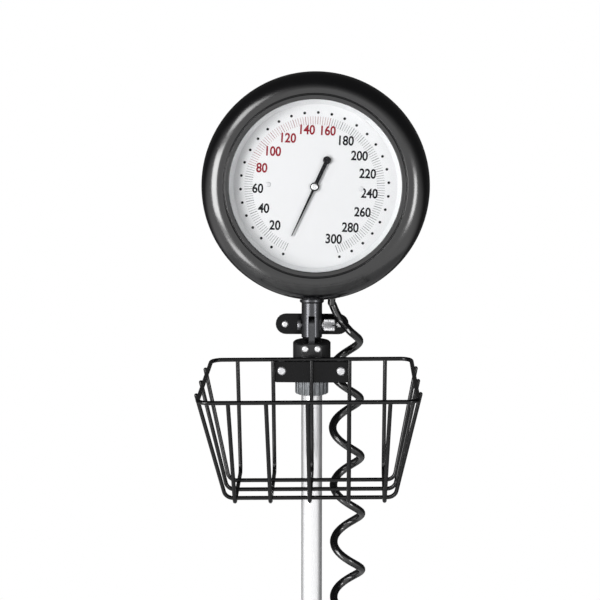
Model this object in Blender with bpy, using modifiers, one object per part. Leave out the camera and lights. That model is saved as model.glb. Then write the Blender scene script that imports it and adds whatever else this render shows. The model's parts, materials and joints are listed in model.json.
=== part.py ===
"""Stand aneroid sphygmomanometer.

A large dial gauge stands on a tilting neck, above a wire basket and a telescopic pole on a
five-leg base with casters. A coiled hose leaves the gauge and hangs beside the pole.
Metres, +Z up, front towards -Y, origin on the floor below the middle of the footprint.
"""

import bmesh
import bpy
import math
from mathutils import Matrix, Vector

# Clearances
GAP = 0.0003
OVERRUN = 0.002
MERGE = 0.00001

# Counts
LEGS = 5
BIG_SIDES = 40
HUB_SIDES = 24
TUBE_SIDES = 20
WHEEL_SIDES = 16
SMALL_SIDES = 12

# Casters
WHEEL_RADIUS = 0.025
WHEEL_HALF_WIDTH = 0.009
WHEEL_WEB_HALF = 0.005
WHEEL_TREAD_HALF = 0.0065
WHEEL_SHOULDER_HALF = 0.0085
WHEEL_HUB_RADIUS = 0.0095
WHEEL_DISH_RADIUS = 0.0115
WHEEL_RIM_RADIUS = 0.018
WHEEL_SHOULDER_RADIUS = 0.020
AXLE_RADIUS = 0.003
CASTER_TRAIL = 0.018
CASTER_REACH = 0.250
FORK_ARM = 0.0025
FORK_SIDE_GAP = 0.0006
FORK_TOP = 0.0592
FORK_CROWN = 0.0067
FORK_BACK = 0.011
FORK_FRONT = 0.012
FORK_ARM_OUT = 0.009
FORK_ARM_IN = 0.004
FORK_ARM_FOOT = 0.009
FORK_ARM_SHOULDER = 0.003
FORK_KNEE = 0.034
FORK_HEEL = 0.048
STEM_RADIUS = 0.005
STEM_TOP = 0.079

# Base
HUB_RADIUS = 0.035
HUB_NECK_RADIUS = 0.019
HUB_BOTTOM = 0.064
HUB_SHOULDER = 0.106
HUB_TOP = 0.122
HUB_CHAMFER = 0.003
HUB_FLOOR = 0.008
LEG_WIDTH = 0.022
LEG_TENON_WIDTH = 0.016
LEG_TENON_LOW = 0.076
LEG_TENON_HIGH = 0.098
LEG_TENON_INNER = 0.021
LEG_ROOT_LOW = 0.071
LEG_ROOT_HIGH = 0.103
LEG_END_LOW = 0.065
LEG_END_HIGH = 0.081
LEG_CHAMFER = 0.002
LEG_BOSS_RADIUS = 0.014
LEG_BOSS_HIGH = 0.084

# Pole
POLE_RADIUS = 0.0095
POLE_WALL = 0.0012
INNER_TUBE_LENGTH = 0.70
OUTER_TUBE_RADIUS = 0.0127
OUTER_TUBE_WALL = 0.0015
OUTER_TUBE_TOP = 0.700
BUSH_LENGTH = 0.045
BUSH_FLANGE = 0.002
GLIDE_LENGTH = 0.012
GLIDE_SPIGOT = 0.015
LOCK_RADIUS = 0.0165
LOCK_VALLEY = 0.0157
LOCK_RIBS = 16
LOCK_BELOW = 0.028
LOCK_ABOVE = 0.035

# Hinge and neck, heights from the tilt axis
HINGE_Z = 1.090
REST_TILT = math.radians(8.6)
NECK_RADIUS = 0.0093
NECK_FOOT = -0.0125
NECK_CHAMFER = 0.002
NECK_TOP = 0.0229
NECK_RIM_RADIUS = 0.0109
NECK_RIM_HEIGHT = 0.0018
NECK_FLARE_HEIGHT = 0.0014
NECK_SHOULDER_RADIUS = 0.0065
NECK_SPIGOT_RADIUS = 0.0052
NECK_SPIGOT_LENGTH = 0.0115
SLOT_TOP = 0.0083
TONGUE_THICKNESS = 0.0053
TONGUE_ROUND = 0.007
BOLT_RADIUS = 0.0025
BOLT_HEAD_RADIUS = 0.0045
BOLT_HEAD_FACE = 0.0098
BOLT_HEAD = 0.0032
BOLT_HEAD_CHAMFER = 0.0006
BOLT_TIP = 0.0190
KNOB_RADIUS = 0.0055
KNOB_VALLEY = 0.0046
KNOB_RIBS = 8
KNOB_FACE = 0.0105
KNOB_LENGTH = 0.0105
KNOB_BOSS_RADIUS = 0.0038
KNOB_BOSS_FACE = 0.0096
KNOB_SLOT = 0.0014
KNOB_SLOT_DEPTH = 0.0030

# Swivel collar and bracket
COLLAR_RADIUS = 0.017
COLLAR_TOP = -0.0150
COLLAR_BOTTOM = -0.0485
COLLAR_CHAMFER = 0.001
COLLAR_FACET = 0.0145
COLLAR_FACET_FOOT = -0.0257
SPIGOT_BOTTOM = -0.030
SPIGOT_CLEARANCE = 0.002
SCREW_SHANK = 0.0015
SCREW_HEAD = 0.003
SCREW_HEAD_HEIGHT = 0.0018
COLLAR_SCREW_SIDE = 0.0056
COLLAR_SCREW_Z = -0.0190
COLLAR_SCREW_LENGTH = 0.0100
BRACKET_HALF_WIDTH = 0.035
BRACKET_TOP = -0.0292
BRACKET_CORNER = 0.004
BRACKET_FRONT = 0.0185
BASKET_PLATE_THICKNESS = 0.0018
BASKET_SCREW_SIDE = 0.0267
BASKET_SCREW_Z = -0.0377
BASKET_SCREW_SHANK = 0.002
BASKET_SCREW_HEAD = 0.0040
BASKET_SCREW_HEIGHT = 0.0022
BASKET_SCREW_LENGTH = 0.0058
NUT_RADIUS = 0.0151
NUT_VALLEY = 0.0143
NUT_RIBS = 20
NUT_HEIGHT = 0.0136

# Rear plate
REAR_PLATE_FRONT = 0.0165
REAR_PLATE_THICKNESS = 0.0025
REAR_PLATE_LENGTH = 0.0664
REAR_PLATE_HEIGHT = 0.0188
REAR_PLATE_Z = -0.0027
REAR_SCREW_SIDE = 0.0245
REAR_SCREW_SHANK = 0.002
REAR_SCREW_HEAD = 0.003
REAR_SCREW_LENGTH = 0.007
REAR_STEM_HALF = 0.007
REAR_STEM_FOOT = -0.0340
STEM_SCREW_Z = -0.0270
STEM_SCREW_LENGTH = 0.0072

# Basket, heights from the tilt axis and depths from the pole
RIM_WIRE = 0.0019
WIRE = 0.0018
WELD = 0.0006
RIM_Z = -0.0265
RIM_BACK_HALF = 0.0892
RIM_FRONT_HALF = 0.0925
RIM_FRONT = 0.176
RIM_FALL = 0.0021
RIM_CORNER = 0.010
BAR_RISE = 0.0014
FLOOR_Z = -0.1297
FLOOR_HALF_WIDTH = 0.073
FLOOR_FRONT = 0.125
WIRE_BEND = 0.008
BASKET_LEAN = math.radians(0.7)
LONG_WIRES_BACK = (-0.066, -0.0343, 0.0, 0.0343, 0.066)
LONG_WIRES_FOOT = (-0.065, -0.0343, -0.0006, 0.0330, 0.064)
LONG_WIRES_FRONT = (-0.0665, -0.0347, 0.0, 0.0347, 0.0690)
BARS_AT_RIM = (0.057, 0.1033, 0.1492)
BARS_AT_FLOOR = (0.0642, 0.0935, 0.1205)

# Gauge, in its own frame: x right, y up the dial, z out of the glass
GAUGE_LEAN = math.radians(1.7)
DIAL_TURN = math.radians(0.9)
GAUGE_FORWARD = 0.0055
DIAL_RADIUS = 0.0778
LENS_MARGIN = 0.0034
LENS_RADIUS = DIAL_RADIUS + LENS_MARGIN
CASE_MARGIN = 0.0163
CASE_RADIUS = LENS_RADIUS + CASE_MARGIN
CASE_WALL = 0.0025
CASE_BACK = -0.026
CASE_FRONT = 0.0085
FLANGE_WIDTH = 0.0135
CASE_FLANGE_RADIUS = CASE_RADIUS - FLANGE_WIDTH
NECK_BOSS_RADIUS = 0.013
NECK_BOSS_LENGTH = 0.0065
NECK_NUT_RADIUS = 0.0095
NECK_NUT_HEIGHT = 0.004
COVER_INSET = 0.001
COVER_RADIUS = CASE_RADIUS - COVER_INSET
COVER_THICKNESS = 0.002
BACK_SCREWS = 3
BACK_SCREW_INSET = 0.0075
BACK_SCREW_CIRCLE = CASE_RADIUS - BACK_SCREW_INSET
BACK_SCREW_LENGTH = 0.0042
RIM_WALL = 0.0047
RIM_RADIUS = CASE_RADIUS + RIM_WALL
RIM_SKIRT = 0.0015
RIM_SKIRT_INSET = 0.0008
RIM_LOW = 0.0025
RIM_HIGH = 0.0065
RIM_SHOULDER_INSET = 0.0018
RIM_SHOULDER = 0.0130
RIM_ROUND_INSET = 0.0050
RIM_ROUND = 0.0177
RIM_SLOPE_INSET = 0.0098
RIM_SLOPE = 0.0211
LIP_LAP = 0.0044
LIP_RADIUS = LENS_RADIUS - LIP_LAP
LIP_EDGE = 0.0225
LIP_BACK = 0.019
LIP_SEAT_MARGIN = 0.0006
LIP_SEAT_RADIUS = LENS_RADIUS + LIP_SEAT_MARGIN
CREST_WIDTH = 0.0100
CREST = 0.0230
GROOVE_INSET = 0.0047
GROOVE_HALF = 0.0006
GROOVE_DEPTH = 0.001
GROOVE_EDGE = 0.0228
SHELL_WIDTH = 0.0052
SHELL = 0.0185
SHELL_SHOULDER_INSET = 0.0030
SHELL_SHOULDER = 0.014
SHELL_FOOT = 0.009
LENS_THICKNESS = 0.002
RING_REVEAL = 0.0003
RING_FRONT_RADIUS = LIP_RADIUS - RING_REVEAL
RING_SLOPE = 0.0035
RING_BACK_RADIUS = RING_FRONT_RADIUS - RING_SLOPE
DIAL_SHIFT = (-0.0007, -0.0008)
DIAL_FRONT = 0.009
DIAL_THICKNESS = 0.0008
DIAL_BORE = 0.0025
DIAL_SCREW_SIDE = 0.0414
DIAL_SCREW_SHANK = 0.0012
DIAL_SCREW_HEAD = 0.0022
DIAL_SCREW_HEIGHT = 0.0008
DIAL_SCREW_LENGTH = 0.0060

# Pointer and movement
ZERO_ANGLE = math.radians(247.7)
FULL_SWEEP = math.radians(315.4)
POINTER_BACK = 0.0105
POINTER_THICKNESS = 0.0010
POINTER_REACH = 0.0484
POINTER_HUB = 0.0040
POINTER_ARM_HALF = 0.0011
POINTER_TIP_HALF = 0.0004
POINTER_TAIL_HALF = 0.0017
POINTER_TAIL = 0.0261
POINTER_WEIGHT = 0.0036
CAP_RADIUS = 0.0029
CAP_HEIGHT = 0.0012
CAP_CHAMFER = 0.0004
CAP_RECESS = 0.0007
ARBOR_RADIUS = 0.0010
ARBOR_FOOT = -0.0225
FRAME_THICKNESS = 0.003
FRAME_LAP = 0.005
FRAME_HALF_LENGTH = CASE_FLANGE_RADIUS + FRAME_LAP
FRAME_HALF_HEIGHT = 0.012
CAPSULE_DROP = 0.044
TONGUE_MARGIN = 0.016
FRAME_TONGUE = CAPSULE_DROP + TONGUE_MARGIN
BEARING_RADIUS = 0.004
BEARING_HEIGHT = 0.0037
PILLAR_RADIUS = 0.0035
GEAR_MODULE = 0.0004
PINION_TEETH = 12
SECTOR_ROUND_TEETH = 120
SECTOR_TEETH = 14
ADDENDUM = 0.00032
DEDENDUM = 0.00048
GEAR_BACK = -0.014
GEAR_THICKNESS = 0.002
SECTOR_HUB = 0.004
SECTOR_PIN = 0.0015
SECTOR_PIN_TIP = -0.0112
CAPSULE_RADIUS = 0.025
CAPSULE_THICKNESS = 0.0085
CAPSULE_WAVE = 0.0007
CAPSULE_RIPPLES = 2
CAPSULE_BUTTON = 0.003
CAPSULE_BUTTON_HEIGHT = 0.0024

# Inlet, in the gauge's frame
INLET_SIDE = 0.0177
INLET_Z = -0.010
GLAND_STEM_RADIUS = 0.003
GLAND_STEM_INSIDE = 0.0075
GLAND_STEM_TOP = -(CASE_RADIUS - GLAND_STEM_INSIDE)
GLAND_RADIUS = 0.0046
GLAND_SHOULDER = -math.sqrt(CASE_RADIUS ** 2 - (INLET_SIDE - GLAND_RADIUS) ** 2) - GAP
GLAND_LENGTH = 0.0042
GLAND_FOOT = GLAND_SHOULDER - GLAND_LENGTH
GLAND_CHAMFER = 0.0008
PIPE_RADIUS = 0.0012
PIPE_BEND = 0.003
PIPE_RUN_SHARE = 0.325
PIPE_ANGLE = math.radians(-69.3)

# Hose: the coil's places are from the pole and the tilt axis
HOSE_RADIUS = 0.0036
COIL_X = 0.0302
COIL_Y = 0.0143
COIL_DRIFT = 0.0009
COIL_X_LOW = 0.0360
COIL_Y_LOW = 0.0160
COIL_TOP = -0.0176
COIL_PITCH_TOP = 0.0543
COIL_PITCH_LOW = 0.0112
TURN_LENGTH = 0.0970
OPEN_TURNS = 3
CLOSING_TURNS = 15
CURL_POINTS = 8
LEAD_IN = math.radians(40.0)
FALL_SHARE = 1.5
TAIL_BEND = 0.015
TAIL_STEPS = 4
TAIL_RUN = 0.020
CONNECTOR_RADIUS = 0.0048
CONNECTOR_CHAMFER = 0.0008
CONNECTOR_BODY = 0.016
CONNECTOR_NOSE_RADIUS = 0.0024
CONNECTOR_NOSE = 0.012
LEAD_SPACING = 0.0055

# The lead's way from the inlet to the first curl, chosen along the hose
LEAD_ROUTE = (
    (0.0185, 0.0090, 0.0175),
    (0.0222, 0.0080, 0.0092),
    (0.0275, 0.0060, 0.0014),
)


def pole_setback():
    """How far behind the middle of the footprint the pole stands, because one leg points forward."""
    reach = CASTER_REACH + CASTER_TRAIL + WHEEL_RADIUS
    back_angle = math.pi / 2.0 - math.pi / LEGS
    rear = reach * math.sin(back_angle) + WHEEL_TREAD_HALF * math.cos(back_angle)
    return (reach - rear) / 2.0


POLE_Y = pole_setback()


# Scene and collections

for old in list(bpy.data.objects):
    bpy.data.objects.remove(old)

PARTS = bpy.data.collections.new("stand_sphygmomanometer")
TOOLS = bpy.data.collections.new("cutters")
bpy.context.scene.collection.children.link(PARTS)
bpy.context.scene.collection.children.link(TOOLS)


def material(name, color, roughness, metallic=0.0, alpha=1.0):
    """A Principled material."""
    made = bpy.data.materials.new(name)
    made.use_nodes = True
    shader = made.node_tree.nodes["Principled BSDF"]
    shader.inputs["Base Color"].default_value = (*color, 1.0)
    shader.inputs["Roughness"].default_value = roughness
    shader.inputs["Metallic"].default_value = metallic
    shader.inputs["Alpha"].default_value = alpha
    return made


SATIN_BLACK = material("satin_black_plastic", (0.012, 0.012, 0.014), 0.32)
GLOSS_BLACK = material("gloss_black_coating", (0.008, 0.008, 0.009), 0.18)
NYLON_BLACK = material("black_nylon", (0.02, 0.02, 0.022), 0.5)
HOSE_BLACK = material("black_hose", (0.006, 0.006, 0.007), 0.2)
CHROME = material("chrome", (0.80, 0.80, 0.81), 0.08, 1.0)
BRASS = material("brass", (0.72, 0.52, 0.22), 0.3, 1.0)
STEEL = material("steel", (0.55, 0.55, 0.57), 0.3, 1.0)
DIAL_WHITE = material("dial_white", (0.86, 0.87, 0.88), 0.45)
SILVER_RING = material("silver_ring", (0.75, 0.76, 0.78), 0.25, 0.6)
GLASS = material("clear_lens", (0.95, 0.96, 0.97), 0.03, 0.0, 0.2)
TYRE_GREY = material("caster_tread", (0.09, 0.09, 0.095), 0.6)


# Frames that the pieces are placed in

def empty(name, parent=None, location=(0.0, 0.0, 0.0), rotation=(0.0, 0.0, 0.0)):
    """An empty that carries pieces."""
    made = bpy.data.objects.new(name, None)
    PARTS.objects.link(made)
    made.parent = parent
    made.location = location
    made.rotation_euler = rotation
    return made


def place(thing, parent, look, tool=False):
    """Parent a new object, give it its material and put it in its collection."""
    (TOOLS if tool else PARTS).objects.link(thing)
    thing.parent = parent
    if tool:
        thing.hide_render = True
        thing.display_type = "WIRE"
    elif look:
        thing.data.materials.append(look)
    return thing


def smooth(mesh, angle=math.radians(40.0)):
    """Shade a mesh smooth, with its sharp edges kept."""
    mesh.shade_smooth()
    mesh.set_sharp_from_angle(angle=angle)


def tidy_mesh(mesh):
    """Weld a mesh and turn its faces outwards."""
    work = bmesh.new()
    work.from_mesh(mesh)
    bmesh.ops.remove_doubles(work, verts=work.verts, dist=MERGE)
    bmesh.ops.recalc_face_normals(work, faces=work.faces)
    work.to_mesh(mesh)
    work.free()
    smooth(mesh)
    return mesh


# Shapes

def arc(centre, radius, start, end, steps):
    """Points along an arc, both ends included."""
    turn = [start + (end - start) * i / steps for i in range(steps + 1)]
    return [(centre[0] + radius * math.cos(a), centre[1] + radius * math.sin(a)) for a in turn]


def circle(radius, sides, centre=(0.0, 0.0)):
    """Points of a circle."""
    return arc(centre, radius, 0.0, math.tau * (sides - 1) / sides, sides - 1)


def ribbed(radius, valley, ribs):
    """Outline of a round grip with ribs."""
    rib_shares = ((0.0, valley), (0.2, radius), (0.55, radius), (0.75, valley))
    points = []
    for i in range(ribs):
        for share, reach in rib_shares:
            angle = math.tau * (i + share) / ribs
            points.append((reach * math.cos(angle), reach * math.sin(angle)))
    return points


def lathe(name, profile, sides, parent, look, ring=False, tool=False, rotation=(0.0, 0.0, 0.0)):
    """Turn a profile of (radius, height) points, which runs down its outer side, about local Z."""
    count = len(profile)
    edges = [(i, i + 1) for i in range(count - 1)]
    if ring:
        edges.append((count - 1, 0))
    mesh = bpy.data.meshes.new(name)
    mesh.from_pydata([(r, 0.0, z) for r, z in profile], edges, [])
    made = place(bpy.data.objects.new(name, mesh), parent, look, tool)
    made.rotation_euler = rotation
    turn = made.modifiers.new("Turn", "SCREW")
    turn.axis = "Z"
    turn.angle = math.tau
    turn.steps = sides
    turn.render_steps = sides
    turn.use_merge_vertices = True
    turn.merge_threshold = MERGE
    turn.use_smooth_shade = True
    return made


def tube_profile(outer, inner, low, high):
    """Profile of a plain ring."""
    return [(inner, high), (outer, high), (outer, low), (inner, low)]


def bar_profile(radius, low, high):
    """Profile of a plain round bar."""
    return [(0.0, high), (radius, high), (radius, low), (0.0, low)]


def slab(name, outlines, low, high, parent, look, tool=False, rotation=(0.0, 0.0, 0.0)):
    """A flat outline with its holes, between two heights along local Z."""
    data = bpy.data.curves.new(name + "_outline", "CURVE")
    data.dimensions = "2D"
    data.fill_mode = "BOTH"
    data.extrude = (high - low) / 2.0
    for outline in outlines:
        spline = data.splines.new("POLY")
        spline.points.add(len(outline) - 1)
        for point, (x, y) in zip(spline.points, outline):
            point.co = (x, y, 0.0, 1.0)
        spline.use_cyclic_u = True
    curve = bpy.data.objects.new(name + "_outline", data)
    PARTS.objects.link(curve)
    mesh = mesh_of(curve)
    bpy.data.objects.remove(curve)
    mesh.transform(Matrix.Translation((0.0, 0.0, (low + high) / 2.0)))
    mesh.name = name
    made = place(bpy.data.objects.new(name, tidy_mesh(mesh)), parent, look, tool)
    made.rotation_euler = rotation
    return made


def mesh_of(thing):
    """The evaluated mesh of an object, as a mesh of its own."""
    depsgraph = bpy.context.evaluated_depsgraph_get()
    return bpy.data.meshes.new_from_object(thing.evaluated_get(depsgraph))


def wire(name, points, radius, parent, look, closed=False, resolution=2, tool=False):
    """A round wire along points."""
    data = bpy.data.curves.new(name + "_path", "CURVE")
    data.dimensions = "3D"
    data.bevel_depth = radius
    data.bevel_resolution = resolution
    data.use_fill_caps = True
    data.twist_mode = "MINIMUM"
    spline = data.splines.new("POLY")
    spline.points.add(len(points) - 1)
    for point, place_at in zip(spline.points, points):
        point.co = (*place_at, 1.0)
    spline.use_cyclic_u = closed
    curve = bpy.data.objects.new(name + "_path", data)
    PARTS.objects.link(curve)
    mesh = mesh_of(curve)
    bpy.data.objects.remove(curve)
    mesh.name = name
    return place(bpy.data.objects.new(name, tidy_mesh(mesh)), parent, look, tool)


def block(name, low, high, parent, look, tool=False, rotation=(0.0, 0.0, 0.0)):
    """A box between two corners."""
    work = bmesh.new()
    bmesh.ops.create_cube(work, size=1.0)
    for vertex in work.verts:
        vertex.co = [lo + (hi - lo) * (c + 0.5) for lo, hi, c in zip(low, high, vertex.co)]
    mesh = bpy.data.meshes.new(name)
    work.to_mesh(mesh)
    work.free()
    made = place(bpy.data.objects.new(name, mesh), parent, look, tool)
    made.rotation_euler = rotation
    return made


def boolean(thing, tool, operation):
    """Cut, join or trim with a tool that is left out of the part."""
    step = thing.modifiers.new(operation.title(), "BOOLEAN")
    step.operation = operation
    step.solver = "EXACT"
    step.object = tool
    return thing


def cut(thing, *tools):
    """Take the tools out of a piece."""
    for tool in tools:
        boolean(thing, tool, "DIFFERENCE")
    return thing


def fuse(thing, *tools):
    """Join the tools to a piece."""
    for tool in tools:
        boolean(thing, tool, "UNION")
    return thing


def chamfer(thing, width, angle=math.radians(50.0)):
    """Break the sharp edges of a piece."""
    step = thing.modifiers.new("Edges", "BEVEL")
    step.width = width
    step.segments = 1
    step.limit_method = "ANGLE"
    step.angle_limit = angle
    return thing


def at(thing, location):
    """Move an object to its place in its parent."""
    thing.location = location
    return thing


def fillet(corners, radius, steps, closed=False):
    """A path through corners, each rounded by an arc of the radius."""
    corners = [Vector(c) for c in corners]
    count = len(corners)
    path = []
    for i, corner in enumerate(corners):
        if not closed and i in (0, count - 1):
            path.append(corner)
            continue
        back = (corners[i - 1] - corner).normalized()
        ahead = (corners[(i + 1) % count] - corner).normalized()
        half = back.angle(ahead) / 2.0
        middle = corner + (back + ahead).normalized() * (radius / math.sin(half))
        start = corner + back * (radius / math.tan(half))
        sweep = math.pi - 2.0 * half
        arm = start - middle
        side = (corner - start).normalized() * radius
        for j in range(steps + 1):
            angle = sweep * j / steps
            path.append(middle + arm * math.cos(angle) + side * math.sin(angle))
    return path


QUARTER = math.pi / 2.0
ALONG_X = (0.0, QUARTER, 0.0)
FRONTWARD = (QUARTER, 0.0, 0.0)
BACKWARD = (-QUARTER, 0.0, 0.0)
FLIPPED = (math.pi, 0.0, 0.0)

stand = empty("stand_axis", None, (0.0, POLE_Y, 0.0))
head = empty("head_axis", stand, (0.0, 0.0, HINGE_Z))
tilt = empty("tilt_axis", head, (0.0, 0.0, 0.0), (-REST_TILT, 0.0, 0.0))


def turned_tool(name, radius, low, high, sides, parent, location=(0.0, 0.0, 0.0), rotation=(0.0, 0.0, 0.0)):
    """A round bar that cuts or joins, between two heights along its own axis."""
    made = lathe(name, bar_profile(radius, low, high), sides, parent, None, False, True, rotation)
    return at(made, location)


def screw(name, head_radius, head_height, shank_radius, length, parent, look, location, rotation):
    """A pan head screw. Its head stands off local height zero and its shank points down local Z."""
    profile = [
        (0.0, head_height),
        (head_radius - head_height / 2.0, head_height),
        (head_radius, head_height / 2.0),
        (head_radius, GAP),
        (shank_radius, GAP),
        (shank_radius, -length),
        (0.0, -length),
    ]
    made = lathe(name, profile, SMALL_SIDES, parent, look, False, False, rotation)
    return at(made, location)


def screw_hole(name, shank_radius, depth, parent, location, rotation):
    """The hole for a screw: it starts in front of the seat and ends a little past the shank."""
    radius = shank_radius + GAP
    return turned_tool(name, radius, -depth, OVERRUN, SMALL_SIDES, parent, location, rotation)


# Base

OUTER_BORE = OUTER_TUBE_RADIUS + GAP
TUBE_SEAT = HUB_BOTTOM + HUB_FLOOR
AXLE_Z = WHEEL_RADIUS * math.cos(math.pi / WHEEL_SIDES)
BOSS_LOW = FORK_TOP + GAP


def leg_angle(index):
    """Direction of a leg, with the first pointing forward."""
    return -QUARTER + math.tau * index / LEGS


def make_base_hub():
    """The hub: a casting with a seat for the tube and a pocket for each leg."""
    profile = [
        (0.0, TUBE_SEAT),
        (OUTER_BORE, TUBE_SEAT),
        (OUTER_BORE, HUB_TOP),
        (HUB_NECK_RADIUS, HUB_TOP),
        (HUB_NECK_RADIUS + HUB_CHAMFER, HUB_TOP - HUB_CHAMFER),
        (HUB_RADIUS, HUB_SHOULDER),
        (HUB_RADIUS, HUB_BOTTOM + HUB_CHAMFER),
        (HUB_RADIUS - HUB_CHAMFER, HUB_BOTTOM),
        (0.0, HUB_BOTTOM),
    ]
    hub = lathe("base_hub", profile, HUB_SIDES, stand, NYLON_BLACK)
    half = LEG_TENON_WIDTH / 2.0 + GAP
    low = (LEG_TENON_INNER - GAP, -half, LEG_TENON_LOW - GAP)
    high = (HUB_RADIUS + OVERRUN, half, LEG_TENON_HIGH + GAP)
    for i in range(LEGS):
        pocket = block("leg_pocket", low, high, stand, None, True, (0.0, 0.0, leg_angle(i)))
        cut(hub, pocket)


def make_leg(index):
    """One leg: a tapered beam with a tenon at the hub and a boss over its caster."""
    turn = empty("leg_axis_%d" % (index + 1), stand, (0.0, 0.0, 0.0), (0.0, 0.0, leg_angle(index)))
    root = HUB_RADIUS + GAP
    side = [
        (root, LEG_ROOT_LOW),
        (CASTER_REACH, LEG_END_LOW),
        (CASTER_REACH, LEG_END_HIGH),
        (root, LEG_ROOT_HIGH),
    ]
    half = LEG_WIDTH / 2.0
    leg = slab("leg_%d" % (index + 1), [side], -half, half, turn, NYLON_BLACK, False, FRONTWARD)
    chamfer(leg, LEG_CHAMFER)
    tenon_half = LEG_TENON_WIDTH / 2.0
    tenon_low = (LEG_TENON_INNER, -tenon_half, LEG_TENON_LOW)
    tenon_high = (root + OVERRUN, tenon_half, LEG_TENON_HIGH)
    tenon = block("leg_tenon", tenon_low, tenon_high, turn, None, True)
    over = (CASTER_REACH, 0.0, 0.0)
    boss = turned_tool("leg_boss", LEG_BOSS_RADIUS, BOSS_LOW, LEG_BOSS_HIGH, TUBE_SIDES, turn, over)
    bore_low = BOSS_LOW - OVERRUN
    bore = turned_tool("stem_bore", STEM_RADIUS + GAP, bore_low, STEM_TOP + GAP, SMALL_SIDES, turn, over)
    fuse(leg, tenon, boss)
    cut(leg, bore)


def make_caster(index):
    """A swivelling fork with its riveted axle, and the wheel on it."""
    number = index + 1
    turn = empty("caster_turn_%d" % number, stand, (0.0, 0.0, 0.0), (0.0, 0.0, leg_angle(index)))
    swivel = empty("caster_swivel_%d" % number, turn, (CASTER_REACH, 0.0, 0.0))
    axle_at = (CASTER_TRAIL, 0.0, AXLE_Z)
    foot = AXLE_Z - FORK_ARM_FOOT
    arm_shoulder = AXLE_Z - FORK_ARM_SHOULDER
    side = [
        (-FORK_BACK, FORK_HEEL),
        (CASTER_TRAIL - FORK_ARM_OUT, arm_shoulder),
        (CASTER_TRAIL - FORK_ARM_IN, foot),
        (CASTER_TRAIL + FORK_ARM_IN, foot),
        (CASTER_TRAIL + FORK_ARM_OUT, arm_shoulder),
        (CASTER_TRAIL + FORK_ARM_OUT, FORK_KNEE),
        (FORK_FRONT, FORK_TOP),
        (-FORK_BACK, FORK_TOP),
    ]
    inner = WHEEL_HALF_WIDTH + FORK_SIDE_GAP
    outer = inner + FORK_ARM
    fork = slab("caster_fork_%d" % number, [side], -outer, outer, swivel, STEEL, False, FRONTWARD)
    gap_low = (-FORK_BACK - OVERRUN, -inner, 0.0)
    gap_high = (CASTER_TRAIL + WHEEL_RADIUS, inner, FORK_TOP - FORK_CROWN)
    gap_box = block("wheel_gap", gap_low, gap_high, swivel, None, True)
    rivet = inner + FORK_ARM / 2.0
    axle = turned_tool("axle", AXLE_RADIUS, -rivet, rivet, SMALL_SIDES, swivel, axle_at, FRONTWARD)
    stem_low = FORK_TOP - FORK_CROWN / 2.0
    stem = turned_tool("stem", STEM_RADIUS, stem_low, STEM_TOP, SMALL_SIDES, swivel)
    cut(fork, gap_box)
    fuse(fork, axle, stem)
    half_profile = [
        (AXLE_RADIUS + GAP, WHEEL_HALF_WIDTH),
        (WHEEL_HUB_RADIUS, WHEEL_HALF_WIDTH),
        (WHEEL_DISH_RADIUS, WHEEL_WEB_HALF),
        (WHEEL_RIM_RADIUS, WHEEL_WEB_HALF),
        (WHEEL_SHOULDER_RADIUS, WHEEL_SHOULDER_HALF),
        (WHEEL_RADIUS, WHEEL_TREAD_HALF),
    ]
    profile = half_profile + [(r, -z) for r, z in reversed(half_profile)]
    flat_down = (QUARTER, math.pi / WHEEL_SIDES, 0.0)
    name = "caster_wheel_%d" % number
    wheel = lathe(name, profile, WHEEL_SIDES, swivel, TYRE_GREY, True, False, flat_down)
    at(wheel, axle_at)


# Pole

HEAD_TUBE_TOP = HINGE_Z + SPIGOT_BOTTOM - SPIGOT_CLEARANCE
INNER_TUBE_FOOT = HEAD_TUBE_TOP - INNER_TUBE_LENGTH
OUTER_TUBE_INNER = OUTER_TUBE_RADIUS - OUTER_TUBE_WALL
HEAD_BORE = POLE_RADIUS + GAP


def make_pole():
    """Outer tube, its bush and lock collar, and the inner tube with its glide."""
    outer = tube_profile(OUTER_TUBE_RADIUS, OUTER_TUBE_INNER, TUBE_SEAT + GAP, OUTER_TUBE_TOP)
    lathe("outer_tube", outer, TUBE_SIDES, stand, SATIN_BLACK, True)
    flange_low = OUTER_TUBE_TOP + GAP
    flange_high = flange_low + BUSH_FLANGE
    sleeve = OUTER_TUBE_INNER - GAP
    bush = [
        (HEAD_BORE, flange_high),
        (OUTER_TUBE_RADIUS, flange_high),
        (OUTER_TUBE_RADIUS, flange_low),
        (sleeve, flange_low),
        (sleeve, OUTER_TUBE_TOP - BUSH_LENGTH),
        (HEAD_BORE, OUTER_TUBE_TOP - BUSH_LENGTH),
    ]
    lathe("tube_bush", bush, TUBE_SIDES, stand, NYLON_BLACK, True)
    low = OUTER_TUBE_TOP - LOCK_BELOW
    high = OUTER_TUBE_TOP + LOCK_ABOVE
    grip = ribbed(LOCK_RADIUS, LOCK_VALLEY, LOCK_RIBS)
    collar = slab("lock_collar", [grip], low, high, stand, SATIN_BLACK)
    bore = turned_tool("lock_bore", HEAD_BORE, low - OVERRUN, high + OVERRUN, TUBE_SIDES, stand)
    seat = turned_tool("lock_seat", OUTER_BORE, low - OVERRUN, flange_high + GAP, TUBE_SIDES, stand)
    cut(collar, seat, bore)
    inner_bore = POLE_RADIUS - POLE_WALL
    inner = tube_profile(POLE_RADIUS, inner_bore, INNER_TUBE_FOOT, HEAD_TUBE_TOP)
    lathe("inner_tube", inner, TUBE_SIDES, stand, CHROME, True)
    spigot = inner_bore - GAP
    ring_top = INNER_TUBE_FOOT - GAP
    glide = [
        (0.0, ring_top + GLIDE_SPIGOT),
        (spigot, ring_top + GLIDE_SPIGOT),
        (spigot, ring_top),
        (sleeve, ring_top),
        (sleeve, ring_top - GLIDE_LENGTH),
        (0.0, ring_top - GLIDE_LENGTH),
    ]
    lathe("tube_glide", glide, TUBE_SIDES, stand, NYLON_BLACK)


# Swivel head

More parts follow.
